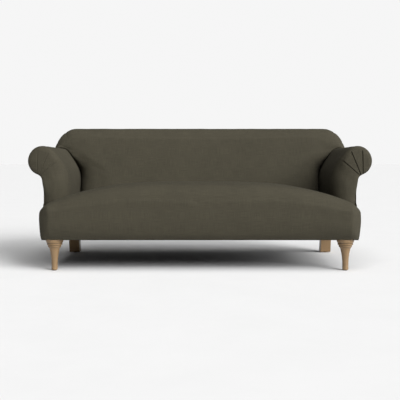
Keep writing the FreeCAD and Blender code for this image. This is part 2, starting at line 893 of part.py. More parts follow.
# Dowels, each half in one member and half in the other
def dowel(name, axis, x, y, z, length="size.dowel_length"):
    """A dowel centred on a joint."""
    start = {"X": x, "Y": y, "Z": z}
    start[axis] = f"{start[axis]} - {length} / 2"
    return rod(
        name, axis, "size.dowel_diameter", length, start["X"], start["Y"], start["Z"]
    )


RAIL_MID_X = f"({POST_X} + size.side_rail / 2)"
FRONT_DOWEL_X = f"({POST_X} + size.side_rail * 0.25)"
BACK_RAIL_MID_Y = f"({BACK_RAIL_FACE} + size.back_rail / 2)"
LOW_DOWEL = f"({FLOOR_GAP} + size.rail_height * 0.5)"
HIGH_DOWEL = f"({FLOOR_GAP} + size.rail_height * 0.82)"
LUMBAR_MID_Z = f"({LUMBAR_FOOT} + size.lumbar_rail_height / 2)"
STRETCHER_MID_Z = f"({FLOOR_GAP} + size.stretcher_height / 2)"
SPREAD_X = "(size.stretcher_spread / 2)"
BOARD_MID_Y = f"({ARM_BOARD_FRONT} + size.scroll_board / 2)"
ARM_POST_MID_Y = f"({ARM_BOARD_BACK} + size.arm_post_depth / 2)"
STUFFING_MID_X = f"({STUFFING_X} + size.stuffing_rail / 2)"
POST_TOP_FRONT_Y = f"({frame_y(TOP_RAIL_FOOT, WEB_FACE)} + 2 * size.dowel_diameter)"
POST_TOP_REAR_Y = f"({rear_y(TOP_RAIL_FOOT, REAR_LAYERS)} - 2 * size.dowel_diameter)"
# Through a thin member, a dowel is one and a half times as long as that member
IN_FRONT_RAIL = "(size.front_rail * 1.5)"
IN_BACK_RAIL = "(size.back_rail * 1.5)"
IN_POST = "(size.side_rail * 1.5)"
IN_BOARD = "(size.scroll_board * 1.5)"
IN_LUMBAR = "(size.lumbar_rail * 1.5)"


def lumbar_middle(height):
    return frame_y(height, f"{WEB_FACE} + size.lumbar_rail / 2")


def upright_middle(height):
    return frame_y(height, f"{WEB_FACE} + size.upright_depth / 2")


right_dowels = [
    dowel("front_low", "Y", FRONT_DOWEL_X, FRONT_RAIL_BACK, LOW_DOWEL, IN_FRONT_RAIL),
    dowel("front_high", "Y", FRONT_DOWEL_X, FRONT_RAIL_BACK, HIGH_DOWEL, IN_FRONT_RAIL),
    dowel("post_low", "Y", RAIL_MID_X, frame_y(LOW_DOWEL, WEB_FACE), LOW_DOWEL),
    dowel("post_high", "Y", RAIL_MID_X, frame_y(HIGH_DOWEL, WEB_FACE), HIGH_DOWEL),
    dowel("back_low", "X", POST_X, BACK_RAIL_MID_Y, LOW_DOWEL, IN_POST),
    dowel("back_high", "X", POST_X, BACK_RAIL_MID_Y, HIGH_DOWEL, IN_POST),
    dowel(
        "stretcher_front", "Y", SPREAD_X, FRONT_RAIL_BACK, STRETCHER_MID_Z, IN_FRONT_RAIL
    ),
    dowel("stretcher_back", "Y", SPREAD_X, BACK_RAIL_FACE, STRETCHER_MID_Z, IN_BACK_RAIL),
    dowel("scroll_foot", "Z", RAIL_MID_X, BOARD_MID_Y, RAIL_TOP),
    dowel(
        "scroll_low", "Y", RAIL_MID_X, ARM_BOARD_BACK,
        f"{RAIL_TOP} + 2 * size.dowel_length", IN_BOARD,
    ),
    dowel(
        "scroll_high", "Y", RAIL_MID_X, ARM_BOARD_BACK,
        f"{ARM_RAIL_FOOT} - 2 * size.dowel_length", IN_BOARD,
    ),
    dowel("arm_post_foot", "Z", RAIL_MID_X, ARM_POST_MID_Y, RAIL_TOP),
    dowel("arm_post_top", "Z", RAIL_MID_X, ARM_POST_MID_Y, ARM_RAIL_FOOT),
    dowel("arm_rail_front", "Y", RAIL_MID_X, ARM_BOARD_BACK, ROLL_Z, IN_BOARD),
    dowel("stuffing_front", "Y", STUFFING_MID_X, ARM_BOARD_BACK, LUMBAR_MID_Z, IN_BOARD),
    dowel(
        "stuffing_back", "Y", STUFFING_MID_X, frame_y(LUMBAR_MID_Z, WEB_FACE),
        LUMBAR_MID_Z, IN_LUMBAR,
    ),
    dowel("lumbar_end", "X", POST_X, lumbar_middle(LUMBAR_MID_Z), LUMBAR_MID_Z, IN_POST),
    dowel("upright_foot", "Z", SPREAD_X, lumbar_middle(LUMBAR_TOP), LUMBAR_TOP),
    dowel("upright_top", "Z", SPREAD_X, upright_middle(TOP_RAIL_FOOT), TOP_RAIL_FOOT),
    dowel("post_top_front", "Z", RAIL_MID_X, POST_TOP_FRONT_Y, TOP_RAIL_FOOT),
    dowel("post_top_rear", "Z", RAIL_MID_X, POST_TOP_REAR_Y, TOP_RAIL_FOOT),
]
dowels_right = group("dowels_right", *right_dowels)
dowels_left = mirror("dowels_left", dowels_right)
frame_dowels = group("frame_dowels", dowels_right, dowels_left)

screws_right = group(
    "screws_right", front_side_screw, front_rail_screw, back_side_screw, back_rail_screw
)
screws_left = mirror("screws_left", screws_right)
block_screws = group("corner_block_screws", screws_right, screws_left)


# Staples that hold the dust cover to the rails
def staple_row(name, role, first, count, across, step_axis, span):
    """A row of staples: one staple's side view padded by its wire, then repeated."""
    half = "size.staple_crown / 2"
    top = f"({FLOOR_GAP} + size.staple_length)"
    seat = f"({FLOOR_GAP} - size.cambric)"
    foot = f"({seat} - size.staple_wire)"
    corners = (
        (f"{first} - {half}", foot),
        (f"{first} + {half}", foot),
        (f"{first} + {half}", top),
        (f"{first} + {half} - size.staple_wire", top),
        (f"{first} + {half} - size.staple_wire", seat),
        (f"{first} - {half} + size.staple_wire", seat),
        (f"{first} - {half} + size.staple_wire", top),
        (f"{first} - {half}", top),
    )
    body = prism(name, role, corners, f"{across} - size.staple_wire / 2", "size.staple_wire")
    pattern = body.newObject("PartDesign::LinearPattern", f"{name}_row")
    pattern.Originals = [body.Tip]
    pattern.Direction = (origin_plane(body, step_axis), [""])
    pattern.setExpression("Length", span)
    pattern.setExpression("Occurrences", count)
    body.Tip = pattern
    return body


LONG_SPAN = f"(2 * ({POST_X} - size.block_side - size.staple_crown))"
SIDE_START = f"({FRONT_RAIL_BACK} + size.block_side)"
SIDE_SPAN = f"({BACK_RAIL_FACE} - {FRONT_RAIL_BACK} - 2 * size.block_side)"
long_count = f"floor({LONG_SPAN} / size.staple_pitch) + 1"
side_count = f"floor({SIDE_SPAN} / size.staple_pitch) + 1"
front_staples = staple_row(
    "front_staples", "XZ_Plane", f"-{LONG_SPAN} / 2", long_count,
    f"{FRONT_RAIL_FACE} + size.front_rail * 0.72", "X_Axis", LONG_SPAN,
)
back_staples = staple_row(
    "back_staples", "XZ_Plane", f"-{LONG_SPAN} / 2", long_count,
    f"{BACK_RAIL_FACE} + size.back_rail * 0.35", "X_Axis", LONG_SPAN,
)
side_staples = staple_row(
    "side_staples", "YZ_Plane", SIDE_START, side_count,
    f"{POST_X} + size.side_rail * 0.35", "Y_Axis", SIDE_SPAN,
)
side_staples_left = mirror("side_staples_left", side_staples)
staples = group(
    "dust_cover_staples", front_staples, back_staples, side_staples, side_staples_left
)

# Finished wood: every member is bored for what enters it
front_rail = node(
    cut("front_rail", raw_front_rail, frame_dowels, block_screws, front_staples)
)
side_rail = cut(
    "side_rail_right", raw_side_rail, dowels_right, screws_right, side_staples
)
pair_of_nodes("side_rail", side_rail)
node(cut("back_rail", raw_back_rail, frame_dowels, block_screws, back_staples))
node(
    cut(
        "seat_stretchers",
        group("raw_stretchers", raw_stretcher("right", "+"), raw_stretcher("left", "-")),
        frame_dowels,
    )
)
pair_of_nodes("back_post", cut("back_post_right", raw_post, dowels_right, screws_right))
node(cut("back_top_rail", raw_top_rail, frame_dowels))
node(cut("lumbar_rail", raw_lumbar_rail, frame_dowels))
node(
    cut(
        "back_uprights",
        group("raw_uprights", raw_upright("right", "+"), raw_upright("left", "-")),
        frame_dowels,
    )
)
scroll_board = cut("arm_scroll_board_right", raw_scroll_board, dowels_right)
pair_of_nodes("arm_scroll_board", scroll_board)
pair_of_nodes("arm_post", cut("arm_post_right", raw_arm_post, dowels_right))
pair_of_nodes("arm_top_rail", cut("arm_top_rail_right", raw_arm_rail, dowels_right))
stuffing_rail = cut("arm_stuffing_rail_right", raw_stuffing_rail, dowels_right)
pair_of_nodes("arm_stuffing_rail", stuffing_rail)
front_block_cut = cut(
    "front_block", front_block, front_nut, front_bolt,
    front_side_bore, front_side_screw, front_rail_bore, front_rail_screw,
)
back_block_cut = cut(
    "back_block", back_block, back_nut, back_bolt,
    back_side_bore, back_side_screw, back_rail_bore, back_rail_screw,
)
blocks_right = group("blocks_right", front_block_cut, back_block_cut)
node(group("corner_blocks", blocks_right, mirror("blocks_left", blocks_right)))
node(frame_dowels)
node(block_screws)

# Legs, bolts, nuts and glides
front_leg = cut("front_leg_right", turned_leg(), front_bolt)
pair_of_nodes("front_leg", front_leg)
back_leg = cut("back_leg_right", swept_leg, back_bolt)
pair_of_nodes("back_leg", back_leg)
bolts_right = group("bolts_right", front_bolt, back_bolt)
node(group("leg_bolts", bolts_right, mirror("bolts_left", bolts_right)))
nuts_right = group("nuts_right", front_nut, back_nut)
node(group("leg_tee_nuts", nuts_right, mirror("nuts_left", nuts_right)))
GLIDE = "size.glide_radius * 2"
glides_right = group(
    "glides_right",
    rod("front_glide", "Z", GLIDE, "size.glide_height", FRONT_LEG_X, FRONT_LEG_Y, "0"),
    rod(
        "back_glide", "Z", GLIDE, "size.glide_height",
        BACK_LEG_X, f"{BACK_LEG_Y} + size.back_leg_sweep", "0",
    ),
)
node(group("floor_glides", glides_right, mirror("glides_left", glides_right)))

# Seat springs: flat serpentine wires from the front rail to the back rail
SPRING_FRONT = f"({FRONT_RAIL_BACK} - size.front_rail / 2)"
SPRING_BACK = f"({BACK_RAIL_FACE} + size.back_rail / 2)"
SPRING_Z = f"({RAIL_TOP} + size.clip + size.spring_wire / 2)"
SPRING_SPAN = f"(2 * ({INNER_X} - size.spring_margin))"


def serpentine():
    """The middle line of one spring, as straight runs joined by half circles."""
    loops = int(value("size.spring_loops"))
    swing = value("size.spring_swing") / 2
    height = value(SPRING_Z)
    first = value(SPRING_FRONT)
    last = value(SPRING_BACK)
    bend = (last - first) / (2 * loops) / 2
    inner = swing - bend
    edges = []
    y = first
    side = 1
    start = FreeCAD.Vector(-inner, y, height)
    for index in range(2 * loops + 1):
        end = FreeCAD.Vector(side * inner, y, height)
        edges.append(Part.LineSegment(start, end).toShape())
        if index == 2 * loops:
            break
        crown = FreeCAD.Vector(side * swing, y + bend, height)
        start = FreeCAD.Vector(side * inner, y + 2 * bend, height)
        edges.append(Part.Arc(end, crown, start).toShape())
        y += 2 * bend
        side = -side
    return Part.Wire(edges)


def spring_shape():
    """One spring: a round wire swept along its serpentine."""
    path = serpentine()
    start = path.Vertexes[0].Point
    section = Part.Wire(
        Part.makeCircle(value("size.spring_wire") / 2, start, FreeCAD.Vector(1, 0, 0))
    )
    return path.makePipeShell([section], True, False)


def spring_places():
    """The X place of each spring, spread evenly about the middle."""
    count = int(value("size.spring_count"))
    span = value(SPRING_SPAN)
    return [(index / (count - 1) - 0.5) * span for index in range(count)]


springs = document.addObject("Part::Feature", "sinuous_springs")
one_spring = spring_shape()
springs.Shape = Part.makeCompound(
    [one_spring.translated(FreeCAD.Vector(x, 0, 0)) for x in spring_places()]
)
node(springs)


def clip_row(name, y):
    """A row of plain clips under the ends of the springs, on top of a rail."""
    half = "size.clip_width / 2"
    centre = f"(-{SPRING_SPAN} / 2)"
    low = RAIL_TOP
    high = f"({RAIL_TOP} + size.clip)"
    corners = (
        (f"{centre} - {half}", low),
        (f"{centre} + {half}", low),
        (f"{centre} + {half}", high),
        (f"{centre} - {half}", high),
    )
    body = prism(
        name, "XZ_Plane", corners, f"{y} - size.clip_length / 2", "size.clip_length"
    )
    pattern = body.newObject("PartDesign::LinearPattern", f"{name}_row")
    pattern.Originals = [body.Tip]
    pattern.Direction = (origin_plane(body, "X_Axis"), [""])
    pattern.setExpression("Length", SPRING_SPAN)
    pattern.setExpression("Occurrences", "size.spring_count")
    body.Tip = pattern
    return body


node(group("spring_clips", clip_row("clips_front", SPRING_FRONT),
           clip_row("clips_back", SPRING_BACK)))


def tie_wire(name, share):
    """A straight wire that crosses on top of all springs."""
    half = f"({SPRING_SPAN} / 2 + size.spring_swing / 2)"
    return rod(
        name, "X", "size.tie_wire", f"2 * {half}", f"-{half}",
        f"{SPRING_FRONT} + ({SPRING_BACK} - {SPRING_FRONT}) * {share}",
        f"{SPRING_Z} + size.spring_wire / 2 + size.tie_wire / 2",
    )


# Each tie wire crosses where the springs run straight across, on an even loop
node(group("spring_tie_wires", tie_wire("tie_1", "0.25"), tie_wire("tie_2", "0.5"),
           tie_wire("tie_3", "0.75")))
node(
    box(
        "seat_hessian",
        (f"-({INNER_X} + size.arm_pad)", f"{INNER_X} + size.arm_pad"),
        (FRONT_RAIL_FACE, f"{frame_y(DECK)} - 5"),
        (f"{DECK} - size.hessian", DECK),
    )
)

# Back webbing and hessian, on the leaning front of the back frame
web_strips = [
    box(
        f"back_strip_{index}",
        (f"{place} - size.webbing_width / 2", f"{place} + size.webbing_width / 2"),
        (f"-{TAIL_Y}", f"2 * {TAIL_Y}"),
        (LUMBAR_FOOT, FRAME_CREST),
    )
    for index, place in enumerate(
        (f"{INNER_X} * 0.78", f"{INNER_X} * 0.52", f"{INNER_X} * 0.26", "0",
         f"-{INNER_X} * 0.26", f"-{INNER_X} * 0.52", f"-{INNER_X} * 0.78")
    )
]
back_webbing = common(
    "back_webbing",
    cut("back_strips", group("back_strip_set", *web_strips), wood_zone),
    web_zone,
)
node(back_webbing)
hessian_zone = box(
    "hessian_zone", (f"-{FRAME_X}", FRAME_X), (f"-{TAIL_Y}", f"2 * {TAIL_Y}"),
    (DECK, FRAME_CREST),
)
back_hessian = cut(
    "back_hessian",
    common("hessian_stock", back_zone, hessian_zone, outline_core),
    web_zone,
    arm_outer,
    arm_outer_left,
)
node(back_hessian)

# Soft fillings, cut to the wood they lie on
wood_near_arm = [
    raw_scroll_board, raw_arm_rail, raw_post, raw_top_rail, raw_lumbar_rail,
]
outside_zone = box(
    "outside_zone",
    (f"{PANEL_X} - 2 * {REAR_LAYERS}", FAR),
    (f"-{FAR}", FAR),
    (f"-{CREST}", NECK_Z),
)
behind_board = box(
    "behind_board", ("0", FAR), (ARM_BOARD_BACK, FAR), (f"-{CREST}", f"2 * {CREST}")
)


def arm_strip(index, share):
    """One upright strip's share of the arm's length."""
    middle = f"({ARM_BOARD_BACK} + ({frame_y(LUMBAR_FOOT)} - {ARM_BOARD_BACK}) * {share})"
    return box(
        f"arm_strip_{index}",
        ("0", POST_X),
        (f"{middle} - size.webbing_width / 2", f"{middle} + size.webbing_width / 2"),
        (LUMBAR_FOOT, ROLL_Z),
    )


arm_strips = group("arm_strips", *[arm_strip(i, s) for i, s in enumerate(
    ("0.14", "0.38", "0.62", "0.86"))])
arm_webbing = cut(
    "arm_webbing_right",
    common("arm_web_stock", arm_web_core, arm_strips),
    arm_wood_core,
)
pair_of_nodes("arm_webbing", arm_webbing)
arm_hessian_zone = box(
    "arm_hessian_zone", ("0", POST_X), (ARM_BOARD_BACK, FAR), (LUMBAR_FOOT, ROLL_Z)
)
arm_hessian = cut(
    "arm_hessian_right",
    common("arm_hessian_stock", arm_core, arm_hessian_zone),
    arm_web_core,
    wood_zone,
)
pair_of_nodes("arm_hessian", arm_hessian)

seat_foam = cut(
    "seat_foam",
    common("seat_foam_stock", seat_padded, above_deck),
    beside_seat,
    beside_seat_left,
    back_outer,
)
node(seat_foam)
border_zone = box(
    "border_zone", (f"-{FAR}", FAR), (f"-{FAR}", ARM_FRONT), (FLOOR_GAP, DECK)
)
frame_cavity = box(
    "frame_cavity", (f"-{FRAME_X}", FRAME_X), (FRONT_RAIL_BACK, FAR), (FLOOR_GAP, DECK)
)
border_pad = cut(
    "seat_border_pad",
    common("border_stock", seat_padded, border_zone),
    frame_cavity,
    prism("front_rail_space", "XY_Plane", front_rail_corners, FLOOR_GAP,
          f"{DECK} - {FLOOR_GAP}"),
)
node(border_pad)
back_foam = cut(
    "back_foam", back_padded, back_core, arm_outer, arm_outer_left, rear_of_board
)
node(back_foam)
arm_foam = cut(
    "arm_foam_right",
    arm_padded,
    arm_core,
    outside_zone,
    below_deck,
    rear_of_board,
    *wood_near_arm,
)
pair_of_nodes("arm_foam", arm_foam)

# Boards under the outside panels
board_inside = arm_shape("board_inside", PAD_FACE, REAR_LAYERS, "0")
arm_board = cut(
    "arm_board_right",
    common("arm_board_stock", arm_padded, outside_zone),
    board_inside,
    rear_of_board,
)
pair_of_nodes("arm_board", arm_board)


def silhouette(name, arm, outline):
    """The whole rear view as one slab: both arms, the back and the space between."""
    centre = box(
        f"{name}_centre", (f"-{INNER_X}", INNER_X), (f"-{TAIL_Y}", f"2 * {TAIL_Y}"),
        (FLOOR_GAP, "size.arm_height"),
    )
    return fuse(name, arm, mirror(f"{name}_left_arm", arm), outline, centre)


panel_padded = silhouette("panel_padded", arm_padded, outline_padded)
panel_outer = silhouette("panel_outer", arm_outer, outline_outer)
back_board = cut(
    "back_board",
    common("back_board_stock", section_padded, panel_padded, rear_of_board),
    rear_of_cover,
)
node(back_board)

# Covers
under_back_board = common("under_back_board", outline_padded, rear_of_board)
inside_arm_cover = cut(
    "inside_arm_cover_right",
    arm_outer,
    arm_padded,
    outside_zone,
    below_deck,
    rear_of_cover,
    under_back_board,
    raw_post,
    raw_top_rail,
    raw_lumbar_rail,
)
pair_of_nodes("inside_arm_cover", inside_arm_cover)
outside_arm_cover = cut(
    "outside_arm_cover_right",
    common("outside_arm_stock", arm_outer, outside_zone),
    arm_padded,
    rear_of_cover,
    raw_side_rail,
)
pair_of_nodes("outside_arm_cover", outside_arm_cover)
seat_cover = cut(
    "seat_cover", seat_outer, seat_padded, beside_seat, beside_seat_left, back_outer
)
node(seat_cover)
inside_back_cover = cut(
    "inside_back_cover",
    back_outer,
    back_padded,
    arm_outer,
    arm_outer_left,
    rear_of_cover,
)
node(inside_back_cover)
outside_back_cover = common(
    "outside_back_cover", section_outer, panel_outer, rear_of_cover
)
node(outside_back_cover)

# Dust cover under the frame, open around each leg
dust_sheet = box(
    "dust_sheet",
    (f"-({FRAME_X} - size.dust_cover_margin)", f"{FRAME_X} - size.dust_cover_margin"),
    (
        f"{FRONT_RAIL_FACE} + size.dust_cover_margin",
        f"{rear_y(FLOOR_GAP, REAR_LAYERS)} - size.dust_cover_margin",
    ),
    (f"{FLOOR_GAP} - size.cambric", FLOOR_GAP),
)
front_leg_hole = rod(
    "front_leg_hole", "Z", "2 * (size.front_leg_top + size.leg_clearance)",
    "2 * size.cambric", FRONT_LEG_X, FRONT_LEG_Y, f"{FLOOR_GAP} - 1.5 * size.cambric",
)
LEG_EDGE = f"({HALF_LEG} + size.leg_clearance)"
back_leg_hole = box(
    "back_leg_hole",
    (f"{BACK_LEG_X} - {LEG_EDGE}", f"{BACK_LEG_X} + {LEG_EDGE}"),
    (f"{BACK_LEG_Y} - {LEG_EDGE}", f"{BACK_LEG_Y} + {LEG_EDGE}"),
    (f"{FLOOR_GAP} - 1.5 * size.cambric", f"{FLOOR_GAP} + size.cambric / 2"),
)
leg_holes = group("leg_holes", front_leg_hole, back_leg_hole)
node(
    cut("dust_cover", dust_sheet, leg_holes, mirror("leg_holes_left", leg_holes), staples)
)
node(staples)

document.recompute()

failed = [
    piece.Name
    for piece in document.Objects
    if "Invalid" in piece.State or "Error" in piece.State
]
if failed:
    raise SystemExit(f"objects that failed to build: {failed}")
os.makedirs("parts", exist_ok=True)
for piece in NODES:
    shape = piece.Shape
    if shape.isNull() or not shape.isValid() or not shape.Solids:
        raise SystemExit(f"{piece.Label} has no sound shape")
    shape.exportStep(f"parts/{piece.Label}.step")
    print(
        f"{piece.Label}: {len(shape.Solids)} solids, "
        f"{sum(solid.Volume for solid in shape.Solids) / 1e6:.3f} litres"
    )
print(f"{len(NODES)} nodes")
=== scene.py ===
import bmesh
import bpy
import math
import numpy as np
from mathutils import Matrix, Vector


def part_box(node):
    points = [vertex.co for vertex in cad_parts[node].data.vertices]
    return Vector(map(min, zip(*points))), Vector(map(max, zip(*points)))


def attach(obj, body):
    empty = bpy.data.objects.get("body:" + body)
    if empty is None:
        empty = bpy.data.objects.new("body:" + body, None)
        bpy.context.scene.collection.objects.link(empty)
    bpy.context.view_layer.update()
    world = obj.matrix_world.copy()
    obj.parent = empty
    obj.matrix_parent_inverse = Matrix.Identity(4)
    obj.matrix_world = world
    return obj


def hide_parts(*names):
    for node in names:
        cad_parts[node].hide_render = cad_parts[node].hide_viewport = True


# English roll arm sofa: covers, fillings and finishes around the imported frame.
# Metres, +Z up, the front faces -Y, and the origin is on the floor under the middle.

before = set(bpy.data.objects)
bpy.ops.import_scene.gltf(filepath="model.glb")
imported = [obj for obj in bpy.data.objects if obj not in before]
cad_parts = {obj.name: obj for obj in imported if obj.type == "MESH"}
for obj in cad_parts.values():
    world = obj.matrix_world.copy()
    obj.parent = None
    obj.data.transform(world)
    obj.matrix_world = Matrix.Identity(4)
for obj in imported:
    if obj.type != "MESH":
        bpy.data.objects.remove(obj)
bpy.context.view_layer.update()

# Sizes shared by several pieces
FLOOR_GAP = 0.178
DECK = 0.3265
ARM_FRONT = -0.330
INNER_X = 0.763
PANEL_X = 0.9065
PANEL_RECESS = 0.0052
NECK_X, NECK_Z, FLARE_Z = 0.920, 0.533, 0.430
ROLL_X, ROLL_Z, ROLL_R = 0.916, 0.624, 0.084
CURVE_X, CURVE_Z, CURVE_R = 1.0116, 0.490, 0.2486
CURVE_END = 54.5
ROLL_END = 75
ARM_FALL = 0.023
BACK_X, CREST_Z, CORNER_R = 0.967, 0.828, 0.155
SEAT_X, NOSE_Y, CROWN_Z, EAR_Z = 0.912, -0.460, 0.494, 0.370
REAR_PANEL_TOP = 0.774
REAR_FOOT_Y, REAR_RAKE = 0.4142, 0.0773
FACE_Y, FACE_LEAN, FACE_Z = 0.165, 0.4204, 0.450
FLARE_POWER = 1.6
SPLAY = 0.016
ARM_VOXEL, BACK_VOXEL, SEAT_VOXEL = 0.011, 0.012, 0.012
ARM_SWELL, BACK_SWELL, SEAT_SWELL = 0.004, 0.007, 0.006
WAVES, WAVE_SPREAD = 14, 3.7


def rear_y(height):
    """The raked rear face of the sofa at a height."""
    return REAR_FOOT_Y + REAR_RAKE * (height - FLOOR_GAP)


def face_y(height):
    """The leaning front face of the inside back at a height."""
    return FACE_Y + FACE_LEAN * (height - FACE_Z)


def flare(height):
    """How far the arm's outer side leans out towards the neck at a height."""
    share = np.clip((height - FLARE_Z) / (NECK_Z - FLARE_Z), 0, 1)
    return (NECK_X - PANEL_X) * share**FLARE_POWER


# Selecting and shaping
def take(*pieces):
    """Only these pieces are selected, and the first one is active."""
    if bpy.context.object and bpy.context.object.mode != "OBJECT":
        bpy.ops.object.mode_set(mode="OBJECT")
    bpy.ops.object.select_all(action="DESELECT")
    for piece in pieces:
        piece.select_set(True)
    bpy.context.view_layer.objects.active = pieces[0]
    return pieces[0]


def named(name):
    """The piece just added, under its own name."""
    piece = bpy.context.object
    piece.name = name
    piece.data.name = name
    return piece


def settle(piece):
    """Puts a piece's place and turn into its mesh."""
    take(piece)
    bpy.ops.object.transform_apply(location=True, rotation=True, scale=True)
    return piece


def pick(piece, kind, wanted):
    """In edit mode, selects the faces, edges or corners that a test wants."""
    take(piece)
    bpy.ops.object.mode_set(mode="EDIT")
    bpy.ops.mesh.select_mode(type=kind)
    bpy.ops.mesh.select_all(action="DESELECT")
    mesh = bmesh.from_edit_mesh(piece.data)
    rows = {"VERT": mesh.verts, "EDGE": mesh.edges, "FACE": mesh.faces}[kind]
    for row in rows:
        row.select = bool(wanted(row))
    mesh.select_flush_mode()
    bmesh.update_edit_mesh(piece.data)


def finish_with(piece, kind, **settings):
    """Adds a modifier with its settings and applies it."""
    take(piece)
    modifier = piece.modifiers.new(kind.lower(), kind)
    for key, setting in settings.items():
        setattr(modifier, key, setting)
    bpy.ops.object.modifier_apply(modifier=modifier.name)
    return piece


def places(piece):
    """Every corner's place as rows of x, y, z."""
    rows = np.empty(len(piece.data.vertices) * 3)
    piece.data.vertices.foreach_get("co", rows)
    return rows.reshape(-1, 3)


def put(piece, rows):
    piece.data.vertices.foreach_set("co", rows.astype(np.float32).ravel())
    piece.data.update()


def outward(piece):
    """Every corner's normal."""
    rows = np.empty(len(piece.data.vertices) * 3)
    piece.data.vertex_normals.foreach_get("vector", rows)
    return rows.reshape(-1, 3)


def ease(value, low, high):
    """0 at low, 1 at high and a smooth step between them."""
    share = np.clip((value - low) / (high - low), 0, 1)
    return share * share * (3 - 2 * share)


def arc(x, z, radius, start, end, steps):
    """Places along an arc in the front view, in degrees counterclockwise from +X."""
    angles = np.radians(np.linspace(start, end, steps))
    return [(x + radius * math.cos(a), z + radius * math.sin(a)) for a in angles]


def slab(name, outline, start, end):
    """A closed slab: an outline in the front view, filled and extruded from front to rear."""
    bpy.ops.object.select_all(action="DESELECT")
    bpy.ops.mesh.primitive_circle_add(vertices=len(outline), fill_type="NGON")
    piece = named(name)
    put(piece, np.array([(x, start, z) for x, z in outline]))
    pick(piece, "FACE", lambda face: True)
    bpy.ops.mesh.extrude_region_move(
        TRANSFORM_OT_translate={"value": (0, end - start, 0)}
    )
    bpy.ops.mesh.select_all(action="SELECT")
    bpy.ops.mesh.normals_make_consistent(inside=False)
    return take(piece)


def even_mesh(piece, voxel, rounds):
    """Gives a closed form an even mesh and rubs out the voxel steps."""
    take(piece)
    piece.data.remesh_voxel_size = voxel
    piece.data.remesh_voxel_adaptivity = 0
    bpy.ops.object.voxel_remesh()
    return finish_with(piece, "SMOOTH", factor=0.5, iterations=rounds)


def nearest_on(outline, spots):
    """For each spot, how far a closed outline is, where it is nearest, the way in and which run."""
    outline = np.array(outline)
    runs = np.roll(outline, -1, axis=0) - outline
    lengths = np.maximum((runs**2).sum(1), 1e-12)
    normals = np.stack([-runs[:, 1], runs[:, 0]], 1) / np.sqrt(lengths)[:, None]
    best = np.full(len(spots), 1e9)
    found = np.zeros((len(spots), 2))
    inward = np.zeros((len(spots), 2))
    index = np.zeros(len(spots), int)
    for row in range(len(outline)):
        share = np.clip((spots - outline[row]) @ runs[row] / lengths[row], 0, 1)
        place = outline[row] + share[:, None] * runs[row]
        away = np.hypot(*(spots - place).T)
        nearer = away < best
        best[nearer] = away[nearer]
        found[nearer] = place[nearer]
        inward[nearer] = normals[row]
        index[nearer] = row
    gap = spots - found
    inside = ((gap * inward).sum(1) > 0) & (best > 1e-4)
    inward[inside] = gap[inside] / best[inside][:, None]
    return best, found, inward, index


def round_rim(rows, outline, radii, plane, way):
    """Rounds the edge between an outline's wall and a front or rear plane.

    Corners within a radius of the edge go from the two flats onto a quarter round.
    The plane is each corner's y, and way is 1 where the slab lies behind it, else -1.
    """
    away, found, inward, index = nearest_on(outline, rows[:, [0, 2]])
    radius = np.maximum(np.array(radii)[index], 1e-6)
    depth = (rows[:, 1] - plane) * way
    along = np.clip(away - depth, -radius, radius)
    near = (away < radius) & (depth < radius)
    angle = (along + radius) / radius * math.pi / 4
    in_by = radius * (1 - np.cos(angle))
    back_by = radius * (1 - np.sin(angle))
    moved = rows.copy()
    moved[:, [0, 2]] = found + inward * in_by[:, None]
    moved[:, 1] = plane + way * back_by
    return np.where(near[:, None], moved, rows)


def smooth_round(values, rounds):
    """Evens out numbers that follow a closed outline."""
    values = np.array(values, float)
    for _ in range(rounds):
        values = (np.roll(values, 1) + values * 2 + np.roll(values, -1)) / 4
    return values


def swell(piece, stroke, held, pressure=4.0, frames=20):
    """Blows a padded form up a little with cloth pressure, moving no corner past the stroke."""
    start = places(piece)
    take(piece)
    pins = piece.vertex_groups.new(name="held")
    for row in np.nonzero(held > 0)[0]:
        pins.add([int(row)], float(held[row]), "REPLACE")
    cloth = piece.modifiers.new("cloth", "CLOTH")
    cloth.settings.quality = 4
    cloth.settings.mass = 0.3
    cloth.settings.tension_stiffness = 25
    cloth.settings.compression_stiffness = 25
    cloth.settings.shear_stiffness = 12
    cloth.settings.bending_stiffness = 4
    cloth.settings.use_pressure = True
    cloth.settings.uniform_pressure_force = pressure
    cloth.settings.effector_weights.gravity = 0
    cloth.settings.vertex_group_mass = "held"
    cloth.collision_settings.use_collision = False
    cloth.collision_settings.use_self_collision = False
    cloth.point_cache.frame_start = 1
    cloth.point_cache.frame_end = frames
    for number in range(1, frames + 1):
        bpy.context.scene.frame_set(number)
    bpy.ops.object.modifier_apply(modifier=cloth.name)
    bpy.context.scene.frame_set(1)
    moved = places(piece) - start
    put(piece, start)
    ways = outward(piece)
    lift = np.clip((moved * ways).sum(1), 0, stroke)
    put(piece, start + ways * lift[:, None])
    piece.vertex_groups.clear()
    return piece


def ripple(piece, height):
    """The slight unevenness of cloth over stuffing, the same in every run."""
    chance = np.random.default_rng(7)
    rows = places(piece)
    lift = np.zeros(len(rows))
    for _ in range(WAVES):
        way = chance.normal(size=3)
        length = chance.uniform(0.06, 0.22)
        start = chance.uniform(0, 6)
        lift += np.sin(rows @ (way / np.linalg.norm(way)) * math.tau / length + start)
    put(piece, rows + outward(piece) * (lift / WAVE_SPREAD * height)[:, None])
    return piece


def twin(piece, name):
    """The left-hand copy of a right-hand piece, with its own mesh."""
    take(piece)
    bpy.ops.object.duplicate()
    copy = named(name)
    rows = places(copy)
    rows[:, 0] *= -1
    put(copy, rows)
    pick(copy, "FACE", lambda face: True)
    bpy.ops.mesh.flip_normals()
    return take(copy)


def shade(piece, degrees=None):
    take(piece)
    if degrees is None:
        bpy.ops.object.shade_smooth()
    else:
        bpy.ops.object.shade_smooth_by_angle(angle=math.radians(degrees))
    return piece


